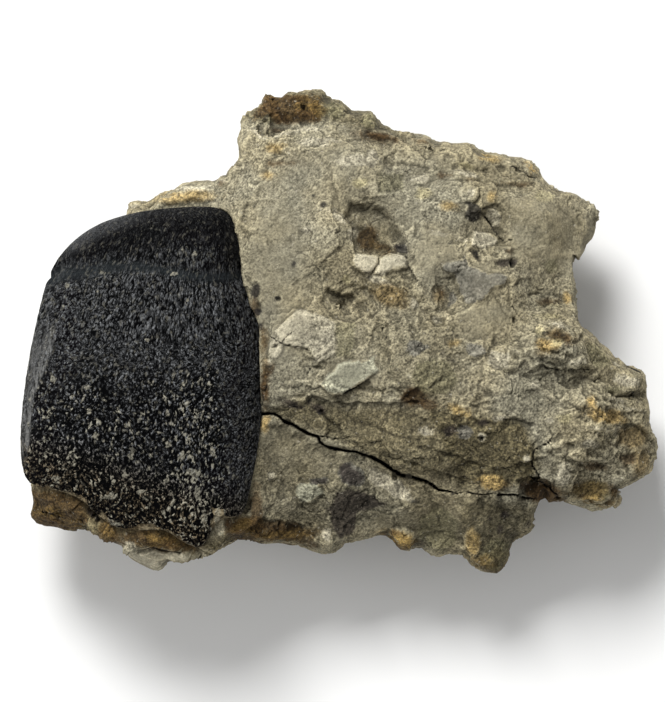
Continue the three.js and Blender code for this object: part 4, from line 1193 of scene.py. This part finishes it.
# %% Material helpers
def new_material(name):
    """A material with its node tree and shader, ready to be wired."""
    material = bpy.data.materials.new(name)
    material.use_nodes = True
    tree = material.node_tree
    return material, tree, tree.nodes["Principled BSDF"]


def node(tree, kind, values=(), **settings):
    """Adds a node, sets its properties, and fills its inputs from name and value or socket."""
    made = tree.nodes.new(kind)
    for setting, value in settings.items():
        setattr(made, setting, value)
    for name, value in dict(values).items():
        if isinstance(value, bpy.types.NodeSocket):
            tree.links.new(value, made.inputs[name])
        else:
            made.inputs[name].default_value = value
    return made


def pattern(tree, size, detail=3.0, roughness=0.6, stretch=(1, 1, 1)):
    """Noise on Object coordinates with lumps of about that size in millimetres."""
    where = node(tree, "ShaderNodeTexCoord").outputs["Object"]
    scaled = node(tree, "ShaderNodeMapping", {"Vector": where, "Scale": stretch}).outputs["Vector"]
    values = {"Vector": scaled, "Scale": 0.6 / (size * MM), "Detail": detail, "Roughness": roughness}
    return node(tree, "ShaderNodeTexNoise", values).outputs["Fac"]


def ramp(tree, value, start, end, low=0.0, high=1.0):
    """Turns the stretch of a value from start to end into low to high, and holds it outside."""
    return node(
        tree,
        "ShaderNodeMapRange",
        {"Value": value, "From Min": start, "From Max": end, "To Min": low, "To Max": high},
        clamp=True,
    ).outputs["Result"]


def times(tree, first, second):
    """The product of two values."""
    return node(tree, "ShaderNodeMath", {0: first, 1: second}, operation="MULTIPLY").outputs[0]


def plus(tree, first, second):
    """The sum of two values."""
    return node(tree, "ShaderNodeMath", {0: first, 1: second}, operation="ADD").outputs[0]


def mixed(tree, share, under, over):
    """One colour laid over another by a share. Either may be a socket or red, green and blue."""
    blend = node(tree, "ShaderNodeMix", data_type="RGBA")
    for socket, value in ((blend.inputs[0], share), (blend.inputs[6], under), (blend.inputs[7], over)):
        if isinstance(value, bpy.types.NodeSocket):
            tree.links.new(value, socket)
        elif isinstance(value, tuple):
            socket.default_value = (*value, 1)
        else:
            socket.default_value = value
    return blend.outputs[2]


def mask(tree, name):
    """A mask that was stored on the piece's vertices."""
    return node(tree, "ShaderNodeAttribute", attribute_name=name).outputs["Fac"]


# %% [markdown]
# The rock's base already varies: broad patches of warm and cool grey, and the brown beds, which carry
# painted shade as well. Each stain is laid over it where its mask, roughened by noise, passes a half; the
# umber, rust and soot carry painted shade too. Then come blotches, clumps and grain, light and dark, so
# that no place is one flat colour. The grain is stronger where the rock is rough, and coarser in the brown
# beds. Painted shade darkens the hollows and the joint with the tooth and turns the cracks black, and
# painted light pales the edges. Bump adds the sand grain and the tiny chips that are finer than the mesh.

# %% Rock material
WARM_TAN = (0.326, 0.283, 0.178)
COOL_GREY = (0.308, 0.283, 0.200)
# the beds' brown, darkened as well by painted shade
BED_BROWN_AND_SHADE = (0.134, 0.112, 0.060)
DARK_SPECK = (0.045, 0.038, 0.030)
PALE_FLECK = (0.52, 0.48, 0.38)
TOOTH_JOINT_SHADE = (0.10, 0.075, 0.045)
CRACK_SHADE_BLACK = (0.012, 0.010, 0.008)
SAND_RELIEF = 0.26  # millimetres
STAIN_LINE = 0.52  # a stain starts where its mask passes this
STAIN_COLOURS = {
    # colour, greatest share of it, how soft its edge is
    # umber, rust and soot also carry painted shade
    "umber_and_shade": ((0.068, 0.041, 0.015), 0.9, 0.45),
    "cream": ((0.46, 0.42, 0.31), 0.68, 0.2),
    "olive": ((0.19, 0.175, 0.095), 0.55, 0.3),
    "green": ((0.38, 0.375, 0.275), 0.75, 0.15),
    "slate": ((0.165, 0.160, 0.138), 0.7, 0.15),
    "plum": ((0.038, 0.029, 0.025), 0.84, 0.25),
    "amber": ((0.165, 0.105, 0.030), 0.62, 0.5),
    "ochre": ((0.42, 0.285, 0.095), 0.62, 0.4),
    "straw": ((0.50, 0.44, 0.24), 0.6, 0.3),
    "gold": ((0.48, 0.345, 0.145), 0.7, 0.35),
    "rust_and_shade": ((0.085, 0.050, 0.020), 0.75, 0.3),
    "soot_and_shade": ((0.016, 0.015, 0.016), 0.85, 0.2),
}

rock_finish, tree, shader = new_material("rock_finish")
broad = ramp(tree, pattern(tree, 7.0), 0.40, 0.60)
colour = mixed(tree, broad, WARM_TAN, COOL_GREY)
ragged = ramp(tree, pattern(tree, 0.9, 5.0, 0.75), 0.25, 0.75, -0.26, 0.26)
# brown beds: the rock's own brown, and painted shade where faces slope away from the lamp
bed_and_shade = ramp(tree, plus(tree, mask(tree, "brown_bed_and_shade"), times(tree, ragged, 0.5)), 0.05, 1.0)
colour = mixed(tree, bed_and_shade, colour, BED_BROWN_AND_SHADE)
for name, (stain, most, softness) in STAIN_COLOURS.items():
    frayed = plus(tree, mask(tree, name), ragged)
    share = ramp(tree, frayed, STAIN_LINE - softness / 2, STAIN_LINE + softness / 2, 0.0, most)
    colour = mixed(tree, share, colour, stain)
blotch = ramp(tree, pattern(tree, 2.2, 4.0), 0.3, 0.7, 0.84, 1.14)
clump = ramp(tree, pattern(tree, 0.6, 3.0, 0.7), 0.3, 0.7, 0.84, 1.16)
grain = ramp(tree, pattern(tree, 0.14, 2.0, 0.7), 0.3, 0.7, -0.70, 0.70)
grain = plus(tree, times(tree, grain, ramp(tree, mask(tree, "rough"), 0.25, 0.62, 0.5, 1.0)), 1.0)
bed_grain = ramp(tree, pattern(tree, 0.22, 3.0, 0.75), 0.3, 0.7, -0.85, 0.85)
grain = times(tree, grain, plus(tree, times(tree, bed_grain, mask(tree, "brown_bed_and_shade")), 1.0))
# painted shade in the hollows, and painted light on the edges
painted_hollow_shade = times(
    tree,
    ramp(tree, mask(tree, "hollow"), 0.1, 0.9, 1.26, 0.60),
    ramp(tree, mask(tree, "deep"), 0.15, 0.9, 1.12, 0.66),
)
tone = times(tree, times(tree, blotch, clump), times(tree, grain, painted_hollow_shade))
toned = node(tree, "ShaderNodeVectorMath", {0: colour, 1: tone}, operation="MULTIPLY").outputs[0]
specks = ramp(tree, pattern(tree, 0.3, 2.0), 0.66, 0.70)
toned = mixed(tree, times(tree, specks, 0.55), toned, DARK_SPECK)
flecks = ramp(tree, pattern(tree, 0.28, 2.0, stretch=(1.3, 1.1, 1.2)), 0.67, 0.71)
toned = mixed(tree, times(tree, flecks, 0.45), toned, PALE_FLECK)
# painted shade: a dark line along the joint with the tooth
toned = mixed(tree, times(tree, mask(tree, "beside_tooth"), 0.55), toned, TOOTH_JOINT_SHADE)
# painted shade: the cracks are painted black
toned = mixed(tree, ramp(tree, mask(tree, "crack"), 0.5, 0.95), toned, CRACK_SHADE_BLACK)
tree.links.new(toned, shader.inputs["Base Color"])
shader.inputs["Roughness"].default_value = 0.88
shader.inputs["Specular IOR Level"].default_value = 0.22
sand_grain = node(
    tree,
    "ShaderNodeBump",
    {"Height": pattern(tree, 0.20, 4.0, 0.8), "Strength": 0.9, "Distance": SAND_RELIEF * MM},
).outputs["Normal"]
tree.links.new(sand_grain, shader.inputs["Normal"])
block.data.materials.append(rock_finish)
print("rock finish:", len(STAIN_COLOURS), "stains,", len(tree.nodes), "nodes")

# %% [markdown]
# ## The enamel
# The enamel is black and covered in fine upright wrinkles, which join and part like plaits. Towards the
# break they shorten into grains. Both are drawn from rolling noise. The lines where it crosses its middle
# wander, join and part, so they make the valleys between wrinkles. The places where it is high are grains
# that stand alone. Drawing the places together upwards, before the noise is asked, turns both into upright
# shapes: a little for the grains, and a lot for the wrinkles. The places for the wrinkles are stored on
# the vertices too, because the material uses them to put still finer wrinkles on the relief.

# %% Helpers for the enamel
GRAIN_STRETCH = 1.35  # how many times longer than wide the grains are
WRINKLE_STRETCH = (2.0, 5.0)  # and the wrinkles, in the left part of the crown and in the right
STRETCHED_ABOVE = -1.0  # the wrinkles are long above this height, and short like grains below it
DEPTH_STRETCH = 1.8


def drawn_together(spots):
    """Places on the crown drawn together upwards: a little, for grains, and a lot, for wrinkles."""
    left = np.clip((-13 - spots[:, 0]) / 22, 0, 1)
    bend = 0.03 * np.clip(spots[:, 1] + 2, 0, None) ** 2 * left  # the wrinkles lean over towards the tip
    across = spots[:, 0] - bend + 0.2 * lumps(spots, 0.95, 81, 2)
    up = spots[:, 1] + 0.7 * lumps(spots, 3.0, 82) + 0.2 * lumps(spots, 1.2, 83, 2) - STRETCHED_ABOVE
    deep = spots[:, 2] / DEPTH_STRETCH
    least, most = WRINKLE_STRETCH
    stretch = np.where(up > 0, least + (most - least) * near_0_to_1(spots[:, 0], -25, -17), GRAIN_STRETCH)
    return np.stack([across, up / GRAIN_STRETCH, deep], 1), np.stack([across, up / stretch, deep], 1)


# %% [markdown]
# The crown has its own zones. Near the tip it is worn smooth, above a level furrow that runs from margin
# to margin. The left margin is a smooth bevel, which gets a painted grey sheen. Rock dust is caught between
# the grains: hardly any near the tip, a great deal towards the break, and most in an upright band right of
# the middle. At the break the enamel ends in a ragged line, and what lies beyond it is caked in rock.

# %% Lines and crumbs on the crown
FURROW = [(-32.6, 6.1), (-31, 6.6), (-28, 7.1), (-25, 7.5), (-22, 7.5), (-19, 7), (-16, 6.4), (-13, 6.3),
    (-10.4, 6.6)]
BEVEL_LINE = [(-31, 1), (-31.8, -2.4), (-33.8, -7.3), (-34.4, -13)]  # the bevel lies on its left
ENAMEL = [(-10.6, -20.5), (-12.9, -20.5), (-13, -19.7), (-13.8, -19.6), (-14, -21.2), (-14, -22.3),
    (-14.3, -23.4), (-15, -24.1), (-16.3, -24.3), (-16.65, -23.6), (-17.5, -22.95), (-18.35, -22.3),
    (-19.35, -21.8), (-20.35, -21.4), (-21.65, -21.3), (-22.5, -21.6), (-23.85, -22.1), (-24.85, -21.8),
    (-25.5, -21.1), (-26, -20.15), (-26.65, -20.5), (-27.35, -20.8), (-27.65, -19.6), (-28, -18.6),
    (-28.65, -18.1), (-30, -17.8), (-31.35, -17.6), (-33, -17.15), (-34.4, -17), (-40, -17), (-40, 20),
    (0, 20), (0, -20.6)]
CRUMBS = [
    # ovals of rock that stick to the enamel
    (-31.5, -5.2, 0.4, 0.55), (-29.5, -7.3, 0.3, 0.25), (-27.8, -6.2, 0.4, 0.3), (-27.5, -8.7, 0.25, 0.3),
    (-26.9, -11.6, 0.5, 0.4), (-24.4, -9.8, 0.25, 0.2), (-23.4, -10.3, 0.35, 0.25),
    (-22.9, -13.5, 0.4, 0.6), (-22.2, -11.2, 0.25, 0.25), (-18.9, -8.9, 0.2, 0.4),
    (-17.4, -6.3, 0.2, 0.25), (-16.7, -7.9, 0.15, 0.45), (-15.9, -9.5, 0.2, 0.25),
    (-18.9, -12.4, 0.4, 0.35), (-17.4, -13.6, 0.5, 0.5), (-16.1, -15.5, 0.8, 0.5),
    (-17.9, -15.8, 0.25, 0.2), (-19, -16.4, 0.35, 0.3), (-22, -17.6, 0.5, 0.35), (-25.2, -18.2, 0.8, 0.4),
    (-24.9, -16.6, 0.3, 0.3), (-26.2, 6.5, 0.4, 0.25), (-18.2, 6.4, 0.4, 0.25), (-31.2, -16.2, 0.6, 0.4),
    (-14.9, -20.4, 0.35, 1.2), (-15.6, -18, 0.3, 1), (-24.6, -21.2, 0.7, 0.3), (-13.4, -20.6, 0.42, 1.3),
    (-30, 5, 0.4, 0.3), (-21.2, -0.9, 0.3, 0.3), (-15.9, 8.4, 0.3, 0.35), (-17.3, 9, 0.15, 0.3),
    (-16.7, 3.4, 0.25, 0.2), (-30.4, 2.8, 0.15, 0.2), (-26.6, 4.4, 0.15, 0.15),
]

# %% [markdown]
# Each zone is a number from 0 to 1 on every vertex, which climbs softly at the zone's edge. It comes from
# the distance to one of those lines, or from how far across or up the crown the vertex is. Where the
# enamel is bare, it has hardly any wrinkles. It is caked outside its ragged line, and on the steep broken
# end.

# %% Zones of the crown
spots, ways = places(crown.data), facings(crown.data)
outer = near_0_to_1(ways[:, 2], 0.0, 0.3)
distance, side, _ = beside(spots + 0.15 * lumps(spots, 1.5, 84, 2)[:, None], FURROW)
above_furrow = side * distance
tip = near_0_to_1(above_furrow, -0.2, 1.6)
left_side = near_0_to_1(-spots[:, 0], 22, 28)
groove = near_0_to_1(above_furrow, -2.0, -0.6) * (1 - near_0_to_1(above_furrow, 0.0, 1.3))
floor_of_furrow = bell(above_furrow, -0.35, 0.5 + 0.3 * left_side)
right_strip = near_0_to_1(spots[:, 0] + 0.06 * spots[:, 1], -14.4, -12.0)
lower = near_0_to_1(2.2 * lumps(spots, 2.6, 95, 3) - spots[:, 1], -2, 9) * (1 - 0.75 * right_strip)
band = bell(spots[:, 0], -16.0, 1.9) * near_0_to_1(-spots[:, 1], 3, 9)
plaited = bell(spots[:, 0], -17.0, 5.5) * (1 - near_0_to_1(spots[:, 1], 7.2, 10.8))
from_bevel, bevel_side, _ = beside(spots, BEVEL_LINE)
bevel = near_0_to_1(-bevel_side * from_bevel, -0.15, 0.15) * (0.3 + 0.7 * np.exp(-from_bevel / 0.7))
bevel *= near_0_to_1(-spots[:, 1], -1.5, 2) * (1 - near_0_to_1(-spots[:, 1], 11, 17))
bare = np.clip(tip * (1 - 0.7 * plaited) + 0.8 * floor_of_furrow + 0.1 * right_strip + 0.4 * bevel, 0, 1)
caked = 1 - near_0_to_1(within(spots + 0.3 * sideways(spots, 0.7, 88, 3), ENAMEL), 0.0, 0.2)
broken_end = near_0_to_1(-ways[:, 1], 0.6, 0.85) * near_0_to_1(-spots[:, 1], 16.0, 17.5)
caked = np.maximum(caked, broken_end * near_0_to_1(0.3 + lumps(spots, 1.2, 97, 3), 0.0, 0.25))
for title, zone in (("bare", bare), ("grainy", lower), ("caked", caked)):
    print(title, "is", round(100 * float(zone.mean())), "% of the crown's vertices")

# %% [markdown]
# The relief is a mound for each wrinkle, which turns into a mound for each grain lower down. It is about
# an eighth of a millimetre high and dies away where the enamel is bare. Under it the crown rolls gently
# and sinks in at the furrow. What is caked gets the chips of the rock instead.

# %% Wrinkles and grains, as relief
MOUND_HEIGHT = 0.13
FURROW_DEPTH = 0.26
ROLL = 0.06
CAKE_CHIPS = ((0.16, 0.9, 5), (0.10, 0.45, 6))  # height, size, seed

short, drawn = drawn_together(spots)
wrinkles = near_0_to_1(np.abs(lumps(drawn, 0.40, 92, 2)), 0.03, 0.26)
grains = near_0_to_1(lumps(short, 0.23, 96, 2), -0.20, 0.30)
mound = wrinkles + lower * (grains - wrinkles)
uneven = 0.7 + 0.6 * near_0_to_1(lumps(spots, 1.6, 86, 2), -0.5, 0.5)
relief = MOUND_HEIGHT * (1 - 0.7 * bare) * uneven * (mound - 0.5) * (1 - caked)
relief += ROLL * lumps(spots, 3.0, 87, 2) - FURROW_DEPTH * groove
relief += caked * (sum(height * chips(spots, size, seed) for height, size, seed in CAKE_CHIPS) - 0.1)
print("mounds cover", round(100 * float((mound > 0.5).mean())), "% of the crown's vertices")

# %% [markdown]
# How pale each wrinkle or grain is, that is how strongly it takes the painted highlight, comes from one
# more noise. Among the wrinkles most are much alike. Lower down most grains are nearly black and a few are
# pale, so the noise is raised to a power there. Rock dust lies where a last noise is under the chance of
# dust. Only the larger crumbs of rock are named places.

# %% Tones and rock dust on the crown
patchy = near_0_to_1(lumps(spots, 1.5, 90, 3), -0.3, 0.45)
power = 1.0 + 1.2 * lower * (1 - 0.7 * band)
darkest = 0.24 - 0.18 * lower * (1 - 0.5 * band)
palest = 0.65 + 0.30 * lower
paleness = near_0_to_1(lumps(short, 0.30, 93, 3), -0.42, 0.42)
tone = (darkest + (palest - darkest) * paleness**power) * (0.5 + 0.45 * uneven)
chance = 0.005 + lower * (0.005 + 0.06 * patchy * near_0_to_1(-spots[:, 1], 2, 11))
chance = (chance + band * (0.1 + 0.35 * patchy)) * (1 - 0.8 * np.maximum(bare, right_strip))
dust = near_0_to_1(chance - near_0_to_1(lumps(short, 0.40, 94, 3), -0.42, 0.42), -0.02, 0.06)
crumbs = np.zeros(len(spots))
crumbly = 0.7 * lumps(spots, 0.35, 91, 2)
for shape in CRUMBS:
    crumbs = np.maximum(crumbs, 1 - near_0_to_1(oval(spots, *shape) + crumbly, 0.6, 1.15))
print("dust on", round(100 * float((dust > 0.5).mean()), 1), "% of the crown's vertices")

# %% [markdown]
# Now the crown's vertices are moved, and the zones are stored as masks for its material. The crumbs stand
# a hair proud, and there is a small nick where the furrow meets the left margin. Two last zones lie on
# the moved shape: the brown of the rock near the break, and the rim where the tip turns down, which gets
# a painted sheen.

# %% Work the relief into the crown
CRUMB_HEIGHT = 0.06
NICK_UP, NICK_REACH, NICK_DEPTH = 6.0, 0.35, 0.3  # how far up it is, half its height, how deep

relief += CRUMB_HEIGHT * crumbs
spots = spots + ways * (relief * outer)[:, None]
spots[:, 0] += NICK_DEPTH * bell(spots[:, 1], NICK_UP, NICK_REACH) * near_0_to_1(-spots[:, 0], 30.6, 32.0)
put_places(crown.data, spots)
browned = near_0_to_1(-spots[:, 1] - 0.3 * (spots[:, 0] + 22), 13, 19)
# the rim that turns away near the tip, for a painted sheen
rim = (1 - near_0_to_1(ways[:, 2], 0.25, 0.62)) * near_0_to_1(above_furrow, 1, 3)
rim *= 0.15 + 0.85 * near_0_to_1(-spots[:, 0], 20, 25)
crown_masks = {
    "mound": mound, "tone": tone, "bare": bare, "bevel": bevel, "dust": dust, "crumbs": crumbs,
    "furrow_floor": floor_of_furrow, "caked": caked, "browned": browned, "rim": rim, "grainy": lower,
}
for mask_name, values in crown_masks.items():
    put_mask(crown.data, mask_name, values)
drawn_at = crown.data.attributes.new("drawn", "FLOAT_VECTOR", "POINT")
drawn_at.data.foreach_set("vector", drawn.astype(np.float32).ravel())
print("tooth relief, mm: rises", round(relief.max(), 2), "sinks", round(relief.min(), 2))

# %% [markdown]
# The enamel is close to black in its valleys, and its ridges get a painted grey highlight, with a soft
# gloss on the ridges alone: the valleys are rough, so that they don't catch the lamps. The finest wrinkles
# come from one smooth noise on the drawn places: the lines where it crosses its middle are valleys too, so
# they wander, join and part. Hairlines finer still break up every ridge. The zones come on top, each in
# its own colour; the grey on the bevel and on the rim near the tip is a painted sheen. Beyond the ragged
# line the colour is that of the brown rock at the break.

# %% Tooth material
ENAMEL_BLACK = (0.0010, 0.0010, 0.0013)
# the ridge grey and brown are a painted highlight on the black enamel
RIDGE_HIGHLIGHT_GREY = (0.170, 0.176, 0.181)
RIDGE_HIGHLIGHT_BROWN = (0.190, 0.150, 0.095)
BEVEL_SHEEN_GREY = (0.185, 0.185, 0.178)
FURROW_BLUE = (0.021, 0.025, 0.027)
DUST = (0.34, 0.32, 0.25)
CAKE = (0.105, 0.078, 0.044)
PALE_CAKE = (0.20, 0.165, 0.105)
WRINKLE = 0.30  # millimetres between the finest valleys
HAIR_RELIEF = 0.06  # millimetres
RIM_SHEEN_SHARE = 0.36  # how much of the ridges' grey the rim takes

tooth_finish, tree, shader = new_material("tooth_finish")
drawn_place = node(tree, "ShaderNodeAttribute", attribute_name="drawn").outputs["Vector"]


def drawn_noise(size, detail, roughness):
    """Noise on the drawn places, with lumps of that size in millimetres."""
    values = {"Vector": drawn_place, "Scale": 1 / size, "Detail": detail, "Roughness": roughness}
    return node(tree, "ShaderNodeTexNoise", values).outputs["Fac"]


def larger(first, second):
    """The larger of two values."""
    return node(tree, "ShaderNodeMath", {0: first, 1: second}, operation="MAXIMUM").outputs[0]


middle = plus(tree, drawn_noise(WRINKLE, 1.5, 0.6), -0.5)
off_middle = node(tree, "ShaderNodeMath", {0: middle}, operation="ABSOLUTE").outputs[0]
line = ramp(tree, off_middle, 0.010, 0.080, 0.05, 1.0)
grain = ramp(tree, mask(tree, "mound"), 0.18, 0.68)
top = times(tree, grain, line)
hairs = ramp(tree, pattern(tree, 0.15, 2.0, 0.7), 0.36, 0.64, -1.0, 0.8)
hairs = plus(tree, times(tree, hairs, ramp(tree, mask(tree, "grainy"), 0.0, 1.0, 0.75, 1.15)), 1.0)
# broad patches that make the painted ridge highlight stronger or weaker
worn = ramp(tree, pattern(tree, 1.1, 4.0, 0.7), 0.35, 0.65, 0.6, 1.1)
less_bare = ramp(tree, mask(tree, "bare"), 0.0, 1.0, 1.0, 0.10)
# painted highlight: grey on the ridges, none in the valleys and little where the enamel is bare
ridge_highlight = times(tree, times(tree, times(tree, top, mask(tree, "tone")), times(tree, hairs, worn)), less_bare)
ridge_highlight_colour = mixed(tree, mask(tree, "browned"), RIDGE_HIGHLIGHT_GREY, RIDGE_HIGHLIGHT_BROWN)
colour = mixed(tree, ridge_highlight, ENAMEL_BLACK, ridge_highlight_colour)
streaks = ramp(tree, pattern(tree, 0.2, 3.0, 0.7, stretch=(0.35, 1.4, 1.0)), 0.35, 0.65, 0.3, 0.95)
colour = mixed(tree, times(tree, mask(tree, "furrow_floor"), streaks), colour, FURROW_BLUE)
upright = ramp(tree, pattern(tree, 0.28, 3.0, 0.7, stretch=(1.6, 0.3, 1.0)), 0.40, 0.60, 0.05, 1.0)
# painted sheen on the left bevel
colour = mixed(tree, times(tree, mask(tree, "bevel"), upright), colour, BEVEL_SHEEN_GREY)
# painted sheen along the rim near the tip
colour = mixed(tree, times(tree, mask(tree, "rim"), times(tree, hairs, RIM_SHEEN_SHARE)), colour, RIDGE_HIGHLIGHT_GREY)
speck = times(tree, mask(tree, "dust"), grain)
speck = times(tree, speck, ramp(tree, drawn_noise(0.2, 2.0, 0.7), 0.35, 0.6, 0.2, 1.0))
colour = mixed(tree, speck, colour, DUST)
crumb_edge = ramp(tree, pattern(tree, 0.18, 3.0, 0.7), 0.3, 0.7, -0.35, 0.35)
cake_grain = ramp(tree, pattern(tree, 0.16, 4.0, 0.75), 0.3, 0.7, 0.4, 1.6)
cake_tint = mixed(tree, ramp(tree, pattern(tree, 1.4, 3.0), 0.4, 0.6), CAKE, PALE_CAKE)
cake = node(tree, "ShaderNodeVectorMath", {0: cake_tint, 1: cake_grain}, operation="MULTIPLY").outputs[0]
in_cake = ramp(tree, plus(tree, mask(tree, "caked"), crumb_edge), 0.42, 0.58)
colour = mixed(tree, in_cake, colour, cake)
crumb = ramp(tree, plus(tree, mask(tree, "crumbs"), crumb_edge), 0.4, 0.75)
crumb_tone = ramp(tree, pattern(tree, 0.14, 3.0, 0.7), 0.36, 0.62, 0.05, 0.75)
colour = mixed(tree, times(tree, crumb, crumb_tone), colour, DUST)
tree.links.new(colour, shader.inputs["Base Color"])
dull = larger(larger(speck, crumb), in_cake)
gloss = times(tree, ramp(tree, dull, 0.0, 1.0, 1.0, 0.0), ramp(tree, top, 0.2, 0.9))
tree.links.new(ramp(tree, gloss, 0.0, 1.0, 1.0, 0.5), shader.inputs["Roughness"])
shader.inputs["Specular IOR Level"].default_value = 0.05
hair = plus(tree, top, times(tree, pattern(tree, 0.15, 3.0, 0.7), 0.6))
skin = node(tree, "ShaderNodeBump", {"Height": hair, "Strength": 0.9, "Distance": HAIR_RELIEF * MM})
tree.links.new(skin.outputs["Normal"], shader.inputs["Normal"])
crown.data.materials.append(tooth_finish)
print("tooth finish:", len(tree.nodes), "nodes")

# %% [markdown]
# ## Handing over
# Both pieces are shaded smooth, ride on the one body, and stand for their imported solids.

# %% Shade, ride and replace
for piece, node_name, slot in ((crown, "tooth", "tooth_enamel"), (block, "matrix", "matrix_rock")):
    piece.data.polygons.foreach_set("use_smooth", [True] * len(piece.data.polygons))
    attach(piece, "root")
    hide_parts(node_name)
    print(piece.name, "has", sum(len(face.vertices) - 2 for face in piece.data.polygons), "triangles")

# %% [markdown]
# Last, the extent of the finished pieces is printed, axis by axis, in millimetres, to set beside the
# solid model's size printed at the start.

# %% Print the finished sizes
sizes = {"cad": [list(corner) for corner in cad_box], "visual": [list(corner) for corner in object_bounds()]}
for axis, low, high in zip("xyz", *sizes["visual"]):
    print(axis, "from", round(low / MM, 2), "to", round(high / MM, 2), "mm")
